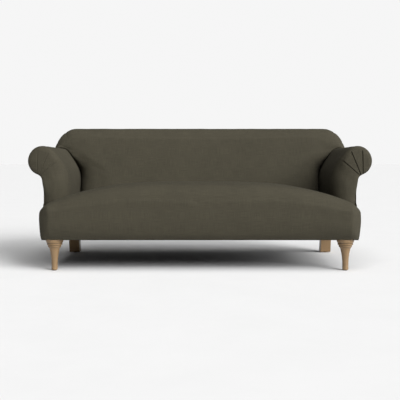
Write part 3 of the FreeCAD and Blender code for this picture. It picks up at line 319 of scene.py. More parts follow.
def cut_away(piece, *cutters):
    """Cuts spaces out of a piece and removes the cutters."""
    for cutter in cutters:
        finish_with(piece, "BOOLEAN", object=cutter, operation="DIFFERENCE", solver="FAST")
        bpy.data.objects.remove(cutter)
    return piece


def block(name, low, high):
    """A plain block between two corners, for cutting and joining."""
    bpy.ops.object.select_all(action="DESELECT")
    bpy.ops.mesh.primitive_cube_add(size=1, location=[(a + b) / 2 for a, b in zip(low, high)])
    piece = named(name)
    piece.scale = [b - a for a, b in zip(low, high)]
    return settle(piece)


def fall_of_arm(rows, top_fade=0.0):
    """The roll drops a little towards the rear, and the back follows it up to a height."""
    drop = ARM_FALL * (rows[:, 1] - ARM_FRONT) * ease(rows[:, 2], CURVE_Z - 0.03, ROLL_Z)
    if top_fade:
        drop *= 1 - ease(rows[:, 2], 0.715, top_fade)
        drop *= ease(np.abs(rows[:, 0]), INNER_X - 0.06, INNER_X + 0.03)
    rows[:, 2] -= np.maximum(drop, 0)
    return rows


def splay(rows):
    """The arms' inner sides, and all that fits between them, widen a little to the rear."""
    wide = np.abs(rows[:, 0])
    out = ease(wide, 0.60, INNER_X) * (1 - ease(wide, 0.80, 0.90))
    to_rear = np.clip((rows[:, 1] - ARM_FRONT) / 0.5, 0, 1)
    out *= to_rear * ease(rows[:, 2], DECK - 0.01, DECK + 0.03)
    rows[:, 0] += np.sign(rows[:, 0]) * SPLAY * out
    return rows


# The right arm: one stuffed form with a rolled top and a fan of pleats at its front
def arm_outline():
    """The arm from the front, counterclockwise from the foot of its outer side."""
    outline = [(PANEL_X, DECK), (PANEL_X, FLARE_Z)]
    for share in (0.25, 0.5, 0.75):
        x = PANEL_X + (NECK_X - PANEL_X) * share**FLARE_POWER
        outline.append((x, FLARE_Z + (NECK_Z - FLARE_Z) * share))
    outline.append((NECK_X, NECK_Z))
    outline += arc(ROLL_X, ROLL_Z, ROLL_R, -ROLL_END, 180 - CURVE_END, 60)
    outline += arc(CURVE_X, CURVE_Z, CURVE_R, 180 - CURVE_END, 180, 30)[1:]
    for step in range(1, 9):
        outline.append((INNER_X, CURVE_Z + (DECK - CURVE_Z) * step / 8))
    return outline


ARM_OUTLINE = arm_outline()


def rim_radius(x, z):
    """How round the arm's front edge is: wide inside, medium round the roll, tight outside."""
    inner = ease(-x, -0.885, -0.845)
    low = 1 - ease(z, 0.570, 0.700)
    outer = ease(x, 0.890, 0.903) * (1 - ease(z, 0.520, 0.545))
    return 0.028 + 0.064 * inner * low - 0.010 * outer


# Each pleat from its foot at the neck to its tip near the rim, then its folds
PLEATS = (
    ((0.9440, 0.5560), (0.9398, 0.6850)),
    ((0.9290, 0.5480), (0.8751, 0.6790)),
    ((0.9180, 0.5470), (0.8272, 0.6270)),
)
PLEAT_OVER, PLEAT_UNDER = 0.0024, 0.0022
PLEAT_GROOVE, PLEAT_WIDTH = 0.0046, 0.0022
RIM_INSET, RIM_GROOVE = 0.0165, 0.0009


def pleat_arm(piece, depth):
    """Lays the fan of pleats into the arm's front, from the neck to the rim."""
    fine = 3
    pick(
        piece,
        "FACE",
        lambda face: face.calc_center_median().y < ARM_FRONT + 0.032
        and face.calc_center_median().z > 0.515
        and abs(face.calc_center_median().x) > 0.785,
    )
    bpy.ops.mesh.subdivide(number_cuts=fine, smoothness=0.6)
    take(piece)
    rows = places(piece)
    normals = outward(piece)
    spots = np.abs(rows[:, [0, 2]])
    front = 1 - ease(rows[:, 1], ARM_FRONT + 0.016, ARM_FRONT + 0.030)
    lift = np.zeros(len(rows))
    for (x0, z0), (x1, z1) in PLEATS:
        run = np.array((x1 - x0, z1 - z0))
        length = np.hypot(*run)
        gap = spots - np.array((x0, z0))
        share = gap @ run / length**2
        side = (gap[:, 0] * run[1] - gap[:, 1] * run[0]) / length
        there = ease(share, -0.10, 0.06) * (1 - ease(share, 0.93, 1.04)) * front
        spread = 0.35 + 0.65 * np.clip(share, 0, 1)
        over = np.where(
            side > 0,
            PLEAT_OVER * np.exp(-np.abs(side) / (0.020 * spread)),
            -PLEAT_UNDER * np.exp(-np.abs(side) / (0.0060 * spread)),
        )
        groove = -PLEAT_GROOVE * np.exp(-(((side + 0.0010) / PLEAT_WIDTH) ** 2))
        lift += (over + groove) * there
    away, _, _, _ = nearest_on(ARM_OUTLINE, spots)
    rim = np.exp(-(((away - RIM_INSET) / PLEAT_WIDTH) ** 2)) * ease(rows[:, 2], 0.600, 0.640)
    rim *= 1 - ease(rows[:, 1], ARM_FRONT + 0.020, ARM_FRONT + 0.030)
    lift -= RIM_GROOVE * rim * ease(spots[:, 0], 0.800, 0.830)
    put(piece, rows + normals * (lift * depth)[:, None])
    return shade(piece)


def make_arm():
    """The right arm, before its pleats."""
    arm = slab("inside_arm_right", ARM_OUTLINE, ARM_FRONT, 0.46)
    rows = places(arm)
    rear = rows[:, 1] > 0
    rows[rear, 1] = rear_y(rows[rear, 2]) - PANEL_RECESS
    put(arm, rows)
    even_mesh(arm, ARM_VOXEL, 3)
    rows = places(arm)
    radii = smooth_round([rim_radius(x, z) for x, z in ARM_OUTLINE], 6)
    rows = round_rim(rows, ARM_OUTLINE, radii, np.full(len(rows), ARM_FRONT), 1)
    put(arm, rows)
    finish_with(arm, "SMOOTH", factor=0.5, iterations=3)
    rows = places(arm)
    hidden = rows[:, 1] > 0.12
    hidden |= rows[:, 2] < DECK + 0.02
    hidden |= (rows[:, 0] > PANEL_X - 0.02) & (rows[:, 2] < NECK_Z - 0.02)
    swell(arm, ARM_SWELL, hidden.astype(float))
    rows = places(arm)
    rows[:, 2] += 0.004 * ease(rows[:, 2], 0.650, 0.700)
    at_front = 1 - ease(rows[:, 1], ARM_FRONT + 0.016, ARM_FRONT + 0.024)
    outer = ease(rows[:, 0], 0.870, 0.900)
    low = 1 - ease(rows[:, 2], 0.555, 0.590)
    rows[:, 0] += 0.0035 * outer * low * at_front
    rows = splay(fall_of_arm(rows))
    # Room for the outside panel below the neck
    behind = ease(rows[:, 1], ARM_FRONT + 0.013, ARM_FRONT + 0.017)
    below = 1 - ease(rows[:, 2], NECK_Z - 0.012, NECK_Z - 0.002)
    recess = np.minimum(rows[:, 0], PANEL_X - PANEL_RECESS * 1.1 + flare(rows[:, 2]))
    rows[:, 0] += (recess - rows[:, 0]) * behind * below
    put(arm, rows)
    finish_with(arm, "SUBSURF", levels=1, render_levels=1)
    return ripple(arm, 0.0004)


# The inside back: a leaning tight pad with a rounded crest that sits on both arms
ON_ROLL, ON_CORNER = 53.6, 6.9
CREST_ROUND = 0.060
DARTS, DART_WIDTH, DART_DEPTH = (57, 24), 1.5, 0.0030


def back_outline():
    """The inside back from the front, counterclockwise from its lower left corner."""
    right = [(INNER_X, DECK), (INNER_X, 0.41)]
    right += arc(CURVE_X, CURVE_Z, CURVE_R, 180, 180 - CURVE_END, 24)
    right += arc(ROLL_X, ROLL_Z, ROLL_R, 180 - CURVE_END, ON_ROLL, 18)[1:]
    right += arc(BACK_X - CORNER_R, CREST_Z - CORNER_R, CORNER_R, ON_CORNER, 90, 28)
    top = [(x, CREST_Z) for x in np.linspace(BACK_X - CORNER_R, CORNER_R - BACK_X, 60)[1:-1]]
    left = [(-x, z) for x, z in reversed(right)]
    return right + top + left


BACK_OUTLINE = back_outline()


def make_back():
    """The inside back, with two darts at each top corner."""
    back = slab("inside_back", BACK_OUTLINE, 0, 1)
    rows = places(back)
    share = rows[:, 1].copy()
    front = face_y(rows[:, 2])
    rear = rear_y(rows[:, 2]) - PANEL_RECESS
    rows[:, 1] = front + share * (rear - front)
    put(back, rows)
    even_mesh(back, BACK_VOXEL, 3)
    rows = places(back)
    front_radii, rear_radii = [], []
    for x, z in BACK_OUTLINE:
        reach = math.hypot(abs(x) - BACK_X + CORNER_R, z - CREST_Z + CORNER_R)
        if z > CREST_Z - 0.001 or abs(reach - CORNER_R) < 0.001:
            front_radii.append(CREST_ROUND)
            rear_radii.append(0.012 + 0.016 * float(ease(z, 0.735, 0.815)))
        else:
            front_radii.append(0.020 + 0.100 * (1 - float(ease(z, 0.540, 0.680))))
            rear_radii.append(0.004)
    rows = round_rim(rows, BACK_OUTLINE, smooth_round(front_radii, 3), face_y(rows[:, 2]), 1)
    rear = rear_y(rows[:, 2]) - PANEL_RECESS
    rows = round_rim(rows, BACK_OUTLINE, smooth_round(rear_radii, 3), rear, -1)
    put(back, rows)
    finish_with(back, "SMOOTH", factor=0.5, iterations=4)
    rows = places(back)
    hidden = rows[:, 1] > rear_y(rows[:, 2]) - 0.03
    hidden |= rows[:, 2] < 0.40
    away, _, _, index = nearest_on(BACK_OUTLINE, rows[:, [0, 2]])
    beside_arm = np.array([z < 0.705 and abs(x) > 0.7 for x, z in BACK_OUTLINE])[index]
    hidden |= (away < 0.012) & beside_arm
    swell(back, BACK_SWELL, hidden.astype(float))
    put(back, splay(fall_of_arm(places(back), top_fade=0.800)))
    finish_with(back, "SUBSURF", levels=1, render_levels=1)
    rows = places(back)
    spots = rows[:, [0, 2]]
    away, _, _, _ = nearest_on(BACK_OUTLINE, spots)
    turn = np.degrees(
        np.arctan2(rows[:, 2] - CREST_Z + CORNER_R, np.abs(rows[:, 0]) - BACK_X + CORNER_R)
    )
    dart = sum(np.exp(-(((turn - place) / DART_WIDTH) ** 2)) for place in DARTS)
    dart *= (1 - ease(away, 0.030, 0.058)) * ease(np.abs(rows[:, 0]), 0.80, 0.84)
    put(back, rows - outward(back) * (DART_DEPTH * dart)[:, None])
    ripple(back, 0.0005)
    return shade(back)


# The seat: a crowned pad whose front wraps round in front of both arms
CORNER_TURN = 0.045
NOSE_ROUND, EAR_LESS = 0.095, 0.029
TOE_TOP, TOE_DEPTH = 0.300, 0.028
REAR_FALL = 0.022
HEM_GROOVE, FOLD_X, FOLD_GROOVE = 0.0022, 0.860, 0.0016
CREASE_X, CREASE_WIDTH, CREASE_DEPTH = 0.858, 0.036, 0.019
BULGE = 0.0045


def crown(x):
    """The height of the seat's top line across the sofa."""
    return EAR_Z + (CROWN_Z - EAR_Z) * (1 - np.clip(np.abs(x) / 0.905, 0, 1) ** 3.3)


def make_seat():
    """The seat, hollow over the frame and open to the floor."""
    border = block("seat", (-SEAT_X, NOSE_Y, FLOOR_GAP), (SEAT_X, ARM_FRONT, CROWN_Z))
    cut_away(
        border,
        block("rail_space", (-0.893, -0.420, 0), (0.893, -0.390, DECK)),
        block("frame_space", (-0.896, -0.394, 0), (0.896, 0, DECK)),
    )
    cushion = block("cushion", (-INNER_X, NOSE_Y + 0.05, DECK), (INNER_X, 0.22, CROWN_Z))
    shoulder = block("shoulder", (-0.850, ARM_FRONT - 0.010, DECK), (0.850, -0.245, CROWN_Z))
    take(border, cushion, shoulder)
    bpy.ops.object.join()
    seat = named("seat")
    even_mesh(seat, SEAT_VOXEL, 0)
    rows = places(seat)
    x, y, z = rows.T.copy()
    # Rear end along the leaning back
    end = face_y(z)
    y = np.where(y > 0, y * end / 0.22, y)
    # Upright front corners
    turn = CORNER_TURN
    across = np.maximum(np.abs(x) - (SEAT_X - turn), 0)
    ahead = np.maximum(NOSE_Y + turn - y, 0)
    corner = (across > 0) & (ahead > 0)
    most = np.maximum(across, ahead)
    shrink = np.where(corner, most / np.maximum(np.hypot(across, ahead), 1e-9), 1)
    x = np.where(corner, np.sign(x) * (SEAT_X - turn + across * shrink), x)
    y = np.where(corner, NOSE_Y + turn - ahead * shrink, y)
    # Nose over the front edge, then the softer edge over each ear's end
    across = np.maximum(np.abs(x) - (SEAT_X - turn), 0)
    ahead = np.maximum(NOSE_Y + turn - y, 0)
    reach = turn - np.hypot(across, ahead)
    in_ear = y < ARM_FRONT + 0.004
    front_gap = y - NOSE_Y
    side_gap = SEAT_X - np.abs(x)
    from_edge = np.where(in_ear, np.minimum(front_gap, side_gap), front_gap)
    from_edge = np.where((across > 0) & (ahead > 0), reach, from_edge)
    nose = NOSE_ROUND - EAR_LESS * ease(np.abs(x), 0.790, 0.880)
    below = CROWN_Z - z
    along = np.clip(from_edge - below, -nose, nose)
    near = (from_edge < nose) & (below < nose)
    angle = (along + nose) / nose * math.pi / 4
    in_by = nose * (1 - np.cos(angle)) - np.minimum(from_edge, nose)
    down_by = nose * (1 - np.sin(angle))
    way_x = np.where(across > 0, across, 0) * np.sign(x)
    way_y = np.where(ahead > 0, -ahead, 0)
    flat_side = in_ear & (side_gap < front_gap)
    way_x = np.where(flat_side & (ahead == 0), np.sign(x), way_x)
    way_y = np.where(~flat_side & (across == 0), -1.0, way_y)
    size = np.maximum(np.hypot(way_x, way_y), 1e-9)
    x = np.where(near, x - way_x / size * in_by, x)
    y = np.where(near, y - way_y / size * in_by, y)
    z = np.where(near, CROWN_Z - down_by, z)
    # Toe under the bulge, crown over the width and a gentle fall to the rear
    toe = np.clip((TOE_TOP - z) / (TOE_TOP - FLOOR_GAP), 0, 1) ** 1.6
    front_wall = 1 - ease(y, NOSE_Y + 0.03, NOSE_Y + 0.10)
    y += TOE_DEPTH * toe * front_wall * (1 - 0.75 * ease(np.abs(x), 0.860, 0.895))
    x -= np.sign(x) * 0.005 * toe * ease(np.abs(x), 0.80, 0.90)
    z = FLOOR_GAP + (z - FLOOR_GAP) * (crown(x) - FLOOR_GAP) / (CROWN_Z - FLOOR_GAP)
    z -= REAR_FALL * ease(y, -0.24, 0.20) * ease(z, 0.36, 0.42)
    put(seat, np.stack([x, y, z], 1))
    finish_with(seat, "SMOOTH", factor=0.5, iterations=5)
    rows = places(seat)
    hidden = (rows[:, 1] > face_y(rows[:, 2]) - 0.015) | (rows[:, 2] < FLOOR_GAP + 0.012)
    hidden |= (rows[:, 1] > ARM_FRONT - 0.012) & (np.abs(rows[:, 0]) > INNER_X - 0.006)
    hidden |= (rows[:, 2] < DECK + 0.01) & (rows[:, 1] > NOSE_Y + 0.05) & (
        np.abs(rows[:, 0]) < SEAT_X - 0.03
    )
    swell(seat, SEAT_SWELL, hidden.astype(float))
    finish_with(seat, "SUBSURF", levels=1, render_levels=1)
    # Hem, folds and creases at the front corners, then the bulge over each side
    rows = places(seat)
    front = 1 - ease(rows[:, 1], NOSE_Y + 0.045, NOSE_Y + 0.060)
    hem = np.exp(-(((rows[:, 2] - FLOOR_GAP - 0.011) / 0.005) ** 2))
    fold = np.exp(-(((np.abs(rows[:, 0]) - FOLD_X) / 0.005) ** 2))
    fold *= 1 - ease(rows[:, 2], 0.300, 0.350)
    rows += outward(seat) * (-(HEM_GROOVE * hem + FOLD_GROOVE * fold) * front)[:, None]
    wide = np.abs(rows[:, 0])
    corner = np.clip((wide - CREASE_X) / CREASE_WIDTH, 0, 1)
    corner *= 1 - ease(rows[:, 2], 0.350, 0.410)
    rows[:, 1] += CREASE_DEPTH * corner * (1 - ease(rows[:, 1], -0.430, -0.350))
    bulge = np.exp(-(((rows[:, 2] - 0.300) / 0.060) ** 2)) * ease(wide, 0.870, 0.905)
    rows[:, 0] += np.sign(rows[:, 0]) * BULGE * bulge
    put(seat, splay(rows))
    ripple(seat, 0.0005)
    return shade(seat)


# Outside panels: taut cloth over a board, with turned edges
PANEL_FOOT = FLOOR_GAP + 0.0006
PANEL_THICKNESS, PANEL_EDGE = 0.0046, 0.0018
ROLL_MEETS_BACK = 0.7042


def panel_width(z):
    """Half the width of the rear view at a height, with the rolls as low as they are there."""
    low = z + ARM_FALL * 0.78 * ease(z, CURVE_Z - 0.03, ROLL_Z)
    if low <= FLARE_Z:
        return PANEL_X
    if low <= NECK_Z:
        share = (low - FLARE_Z) / (NECK_Z - FLARE_Z)
        return PANEL_X + (NECK_X - PANEL_X) * share**FLARE_POWER
    if low <= ROLL_MEETS_BACK:
        return ROLL_X + math.sqrt(max(ROLL_R**2 - (low - ROLL_Z) ** 2, 0.0))
    rise = min(z, REAR_PANEL_TOP) - (CREST_Z - CORNER_R)
    inset = 0.014 + 0.010 * (z - 0.69) / (REAR_PANEL_TOP - 0.69)
    return BACK_X - CORNER_R + math.sqrt((CORNER_R - inset) ** 2 - rise**2)


def make_rear_panel():
    """The outside back, from the floor side of the rail up behind the crest."""
    heights = [PANEL_FOOT]
    heights += list(np.linspace(0.19, 0.50, 24)) + list(np.linspace(0.508, REAR_PANEL_TOP, 52))
    bpy.ops.object.select_all(action="DESELECT")
    bpy.ops.mesh.primitive_grid_add(x_subdivisions=110, y_subdivisions=len(heights) - 1, size=2)
    panel = named("outside_back_panel")
    rows = places(panel)
    order = np.round((rows[:, 1] + 1) / 2 * (len(heights) - 1)).astype(int)
    z = np.array(heights)[order]
    width = np.array([panel_width(height) for height in heights]) - 0.0015
    x = rows[:, 0] * width[order]
    crowned = 0.003 * (1 - rows[:, 0] ** 6) * (1 - rows[:, 1] ** 6)
    y = rear_y(z) - 0.0022 + crowned * 0.5
    put(panel, np.stack([x, y, z], 1))
    finish_with(panel, "SOLIDIFY", thickness=PANEL_THICKNESS, offset=0)
    finish_with(panel, "BEVEL", width=PANEL_EDGE, segments=2, limit_method="ANGLE")
    finish_with(panel, "SUBSURF", levels=1, render_levels=1)
    return shade(panel)


def make_arm_panel():
    """The right outside arm, from the floor side of the rail up to the neck."""
    bpy.ops.object.select_all(action="DESELECT")
    bpy.ops.mesh.primitive_grid_add(x_subdivisions=72, y_subdivisions=44, size=2)
    panel = named("outside_arm_panel_right")
    rows = places(panel)
    up = (rows[:, 1] + 1) / 2
    z = PANEL_FOOT + up * (NECK_Z - 0.004 - FLOOR_GAP)
    front = ARM_FRONT - 0.004 + 0.020 * ease(z, 0.368, 0.380)
    y = front + (rows[:, 0] + 1) / 2 * (rear_y(z) - PANEL_RECESS - 0.0004 - front)
    crowned = 0.0020 * (1 - rows[:, 0] ** 6) * (1 - rows[:, 1] ** 6)
    x = PANEL_X - 0.0026 + flare(z) + crowned
    z -= ARM_FALL * (y - ARM_FRONT) * ease(z, CURVE_Z - 0.03, ROLL_Z)
    put(panel, np.stack([x, y, z], 1))
    finish_with(panel, "SOLIDIFY", thickness=PANEL_THICKNESS, offset=0)
    finish_with(panel, "BEVEL", width=PANEL_EDGE, segments=2, limit_method="ANGLE")
    pick(panel, "FACE", lambda face: True)
    bpy.ops.mesh.normals_make_consistent(inside=False)
    finish_with(panel, "SUBSURF", levels=1, render_levels=1)
    return shade(panel)


# The dust cover: thin cloth stapled under the rails, open round the four legs
FRONT_LEG = (0.831, -0.375)
BACK_LEG = (0.840, 0.364)
FRONT_OPENING, FRONT_EDGE = 0.055, 0.056
BACK_OPENING, BACK_EDGE = 0.041, 0.042
DUST_HANG, DUST_THICKNESS = 0.005, 0.0008


def leg_gap(place):
    """How far a place under the sofa is outside the opening round the nearest leg."""
    x, y = abs(place[0]), place[1]
    if y < 0:
        return math.hypot(x - FRONT_LEG[0], y - FRONT_LEG[1]) - FRONT_OPENING
    return max(abs(x - BACK_LEG[0]), abs(y - BACK_LEG[1])) - BACK_OPENING


def clear_of_leg(place):
    """Draws the ragged corners of an opening back to its edge."""
    x, y = abs(place[0]), place[1]
    if leg_gap(place) > 0.010:
        return place[:2]
    centre = FRONT_LEG if y < 0 else BACK_LEG
    across, along = x - centre[0], y - centre[1]
    reach = math.hypot(across, along) if y < 0 else max(abs(across), abs(along))
    scale = (FRONT_EDGE if y < 0 else BACK_EDGE) / max(reach, 1e-6)
    if scale < 0.92:
        return place[:2]
    return [math.copysign(centre[0] + across * scale, place[0]), centre[1] + along * scale]


def make_dust_cover(low, high):
    """Cloth between two corners that hangs a little in the middle."""
    bpy.ops.object.select_all(action="DESELECT")
    bpy.ops.mesh.primitive_grid_add(x_subdivisions=148, y_subdivisions=68, size=2)
    cover = named("dust_cover_cloth")
    rows = places(cover)
    half = (high - low) / 2
    middle = (high + low) / 2
    share_x, share_y = rows[:, 0].copy(), rows[:, 1].copy()
    rows[:, 0] = middle[0] + share_x * half[0]
    rows[:, 1] = middle[1] + share_y * half[1]
    hang = (1 - np.abs(share_x) ** 5) * (1 - np.abs(share_y) ** 4)
    rows[:, 2] = middle[2] - DUST_HANG * hang
    put(cover, rows)
    pick(cover, "FACE", lambda face: leg_gap(face.calc_center_median()) < 0)
    bpy.ops.mesh.delete(type="FACE")
    take(cover)
    rows = places(cover)
    for number, row in enumerate(rows):
        rows[number, :2] = clear_of_leg(row)
    put(cover, rows)
    finish_with(cover, "SOLIDIFY", thickness=DUST_THICKNESS, offset=0)
    return shade(cover, 60)


arm_right = make_arm()
arm_left = twin(arm_right, "inside_arm_left")
pleat_arm(arm_right, depth=1.0)
pleat_arm(arm_left, depth=0.35)
back = make_back()
seat = make_seat()
rear_panel = make_rear_panel()
arm_panel_right = make_arm_panel()
arm_panel_left = twin(arm_panel_right, "outside_arm_panel_left")
dust_low, dust_high = (np.array(corner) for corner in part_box("dust_cover"))
dust_low[:2] -= (0.011, 0.016)
dust_high[:2] += (0.011, 0.011)
dust_cover = make_dust_cover(dust_low, dust_high)

for piece, nodes in (
    (arm_right, ("inside_arm_cover_right", "arm_foam_right")),
    (arm_left, ("inside_arm_cover_left", "arm_foam_left")),
    (back, ("inside_back_cover", "back_foam")),
    (seat, ("seat_cover", "seat_foam", "seat_border_pad")),
    (rear_panel, ("outside_back_cover", "back_board")),
    (arm_panel_right, ("outside_arm_cover_right", "arm_board_right")),
    (arm_panel_left, ("outside_arm_cover_left", "arm_board_left")),
):
    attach(piece, "root")
    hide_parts(*nodes)

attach(dust_cover, "root")
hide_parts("dust_cover")


# Materials: shared effects
def colour(chart):
    """A colour written as on a paint chart, as the linear numbers of a socket."""
    parts = [int(chart[i : i + 2], 16) / 255 for i in (0, 2, 4)]
    return [*(p / 12.92 if p <= 0.04045 else ((p + 0.055) / 1.055) ** 2.4 for p in parts), 1]


def link(tree, start, end):
    """Feeds a socket, or sets it where the start is a plain number or colour."""
    if isinstance(start, bpy.types.NodeSocket):
        tree.links.new(start, end)
    elif start is not None:
        end.default_value = start


def add(tree, kind, outlet=0, settings=None, **feeds):
    """Places a node, feeds its sockets by name and gives back one outlet."""
    node = tree.nodes.new("ShaderNode" + kind)
    for key, setting in (settings or {}).items():
        setattr(node, key, setting)
    for key, start in feeds.items():
        socket = int(key[1:]) if key[0] == "s" and key[1:].isdigit() else key.replace("_", " ")
        link(tree, start, node.inputs[socket])
    return node.outputs[outlet]


def sums(tree, operation, first, second=None, third=None):
    """A Math node."""
    return add(tree, "Math", settings={"operation": operation}, s0=first, s1=second, s2=third)


def blend_colours(tree, share, first, second):
    """Mixes two colours by a share."""
    node = tree.nodes.new("ShaderNodeMix")
    node.data_type = "RGBA"
    link(tree, share, node.inputs[0])
    link(tree, first, node.inputs[6])
    link(tree, second, node.inputs[7])
    return node.outputs[2]


def group(name, inputs, outputs):
    """An empty shared effect with its inlets and outlets."""
    tree = bpy.data.node_groups.new(name, "ShaderNodeTree")
    for label, kind, start in inputs:
        inlet = tree.interface.new_socket(label, in_out="INPUT", socket_type="NodeSocket" + kind)
        if start is not None:
            inlet.default_value = start
    for label, kind in outputs:
        tree.interface.new_socket(label, in_out="OUTPUT", socket_type="NodeSocket" + kind)
    return tree, tree.nodes.new("NodeGroupInput").outputs, tree.nodes.new("NodeGroupOutput").inputs


def place_group(tree, effect, **feeds):
    """Places a shared effect in a material and gives back its outlets."""
    node = tree.nodes.new("ShaderNodeGroup")
    node.node_tree = effect
    for key, start in feeds.items():
        link(tree, start, node.inputs[key.replace("_", " ")])
    return node.outputs


def weave_effect():
    """A plain weave laid on a form from its three sides, with uneven threads."""
    tree, given, out = group(
        "plain_weave",
        [("Place", "Vector", None), ("Facing", "Vector", None), ("Thread", "Float", 0.0012)],
        [("Height", "Float"), ("Thread Tone", "Float")],
    )
    spots = tree.nodes.new("ShaderNodeSeparateXYZ")
    facing = tree.nodes.new("ShaderNodeSeparateXYZ")
    tree.links.new(given["Place"], spots.inputs[0])
    tree.links.new(given["Facing"], facing.inputs[0])
    shares = [sums(tree, "POWER", sums(tree, "ABSOLUTE", side), 6.0) for side in facing.outputs]
    total = sums(tree, "ADD", sums(tree, "ADD", shares[0], shares[1]), shares[2])
    turn = sums(tree, "DIVIDE", math.pi, given["Thread"])
    heights, tones = [], []
    for first, second in ((1, 2), (0, 2), (0, 1)):
        across = sums(tree, "SINE", sums(tree, "MULTIPLY", spots.outputs[first], turn))
        along = sums(tree, "SINE", sums(tree, "MULTIPLY", spots.outputs[second], turn))
        over = add(
            tree,
            "Math",
            settings={"operation": "MULTIPLY_ADD", "use_clamp": True},
            s0=sums(tree, "MULTIPLY", across, along),
            s1=2.5,
            s2=0.5,
        )
        warp = sums(tree, "SQRT", sums(tree, "ABSOLUTE", across))
        weft = sums(tree, "SQRT", sums(tree, "ABSOLUTE", along))
        gap = sums(tree, "SUBTRACT", warp, weft)
        heights.append(sums(tree, "MULTIPLY_ADD", gap, over, weft))
        threads = []
        for stretch in ((420.0, 14.0, 1.0), (14.0, 420.0, 1.0)):
            spot = add(
                tree,
                "CombineXYZ",
                X=sums(tree, "MULTIPLY", spots.outputs[first], stretch[0]),
                Y=sums(tree, "MULTIPLY", spots.outputs[second], stretch[1]),
            )
            threads.append(add(tree, "TexNoise", Vector=spot, Scale=1.0, Detail=2.0))
        gap = sums(tree, "SUBTRACT", threads[0], threads[1])
        tones.append(sums(tree, "MULTIPLY_ADD", gap, over, threads[1]))
    for results, outlet in ((heights, out["Height"]), (tones, out["Thread Tone"])):
        mixed = sums(tree, "MULTIPLY", results[0], shares[0])
        mixed = sums(tree, "MULTIPLY_ADD", results[1], shares[1], mixed)
        mixed = sums(tree, "MULTIPLY_ADD", results[2], shares[2], mixed)
        tree.links.new(sums(tree, "DIVIDE", mixed, total), outlet)
    return tree


def grain_effect():
    """Wood grain along the stretched axis: growth rings, fibres and pores."""
    tree, given, out = group(
        "wood_grain",
        [("Place", "Vector", None), ("Stretch", "Vector", (1.0, 1.0, 0.07))],
        [("Rings", "Float"), ("Fibres", "Float"), ("Pores", "Float")],
    )
    drawn = add(
        tree,
        "VectorMath",
        settings={"operation": "MULTIPLY"},
        s0=given["Place"],
        s1=given["Stretch"],
    )
    bent = add(tree, "TexNoise", Vector=drawn, Scale=9.0, Detail=2.0, Roughness=0.5)
    shift = add(
        tree,
        "VectorMath",
        settings={"operation": "MULTIPLY_ADD"},
        s0=add(tree, "CombineXYZ", X=bent, Y=bent, Z=bent),
        s1=(0.030, 0.030, 0.030),
        s2=drawn,
    )
    rings = add(
        tree,
        "TexWave",
        outlet=1,
        settings={"wave_type": "RINGS", "rings_direction": "SPHERICAL", "wave_profile": "SAW"},
        Vector=shift,
        Scale=42.0,
        Distortion=1.5,
        Detail=2.0,
        Detail_Scale=1.2,
    )
    fibres = add(tree, "TexNoise", Vector=shift, Scale=900.0, Detail=3.0, Roughness=0.6)
    specks = add(tree, "TexNoise", Vector=drawn, Scale=1500.0, Detail=1.0)
    pores = add(
        tree,
        "MapRange",
        Value=specks,
        From_Min=0.62,
        From_Max=0.70,
    )
    tree.links.new(rings, out["Rings"])
    tree.links.new(fibres, out["Fibres"])
    tree.links.new(pores, out["Pores"])
    return tree


def patches_effect():
    """Slow, soft changes of tone over a surface."""
    tree, given, out = group(
        "soft_patches",
        [("Place", "Vector", None), ("Scale", "Float", 5.0)],
        [("Tone", "Float")],
    )
    noise = add(
        tree, "TexNoise", Vector=given["Place"], Scale=given["Scale"], Detail=3.0, Roughness=0.55
    )
    tree.links.new(add(tree, "MapRange", Value=noise, From_Min=0.25, From_Max=0.75), out["Tone"])
    return tree


WEAVE = weave_effect()
GRAIN = grain_effect()
PATCHES = patches_effect()


def empty_material(name, roughness, metallic=0.0, specular=0.5):
    """A material with its shader, its roughness, metal and shine, and its place on the object."""
    made = bpy.data.materials.new(name)
    made.use_nodes = True
    tree = made.node_tree
    shader = tree.nodes["Principled BSDF"].inputs
    shader["Roughness"].default_value = roughness
    shader["Metallic"].default_value = metallic
    shader["Specular IOR Level"].default_value = specular
    place = tree.nodes.new("ShaderNodeTexCoord").outputs["Object"]
    return made, tree, shader, place


def bump(tree, shader, height, depth):
    """Raises a surface by a height of 0 to 1, to a depth in metres."""
    normal = add(tree, "Bump", Distance=depth, Strength=1.0, Height=height)
    tree.links.new(normal, shader["Normal"])


def woven(name, light, dark, thread, depth, roughness, patchy=0.25, sheen=0.0):
    """Woven cloth: threads over and under each other, uneven in tone."""
    made, tree, shader, place = empty_material(name, roughness, specular=0.25)
    facing = tree.nodes.new("ShaderNodeNewGeometry").outputs["Normal"]
    threads = place_group(tree, WEAVE, Place=place, Facing=facing, Thread=thread)
    tone = place_group(tree, PATCHES, Place=place, Scale=4.5)["Tone"]
    share = add(tree, "MapRange", Value=threads["Thread Tone"], From_Min=0.30, From_Max=0.70)
    share = sums(tree, "MULTIPLY_ADD", share, 0.55, sums(tree, "MULTIPLY", tone, patchy))
    # Raised threads lighter and the gaps between them darker: painted shade in the weave's hollows
    share = sums(tree, "MULTIPLY_ADD", threads["Height"], 0.25, share)
    tree.links.new(blend_colours(tree, share, colour(dark), colour(light)), shader["Base Color"])
    rough = sums(tree, "MULTIPLY_ADD", threads["Thread Tone"], 0.12, roughness - 0.06)
    tree.links.new(rough, shader["Roughness"])
    shader["Sheen Weight"].default_value = sheen
    shader["Sheen Roughness"].default_value = 0.4
    shader["Sheen Tint"].default_value = colour(light)
    bump(tree, shader, threads["Height"], depth)
    return made


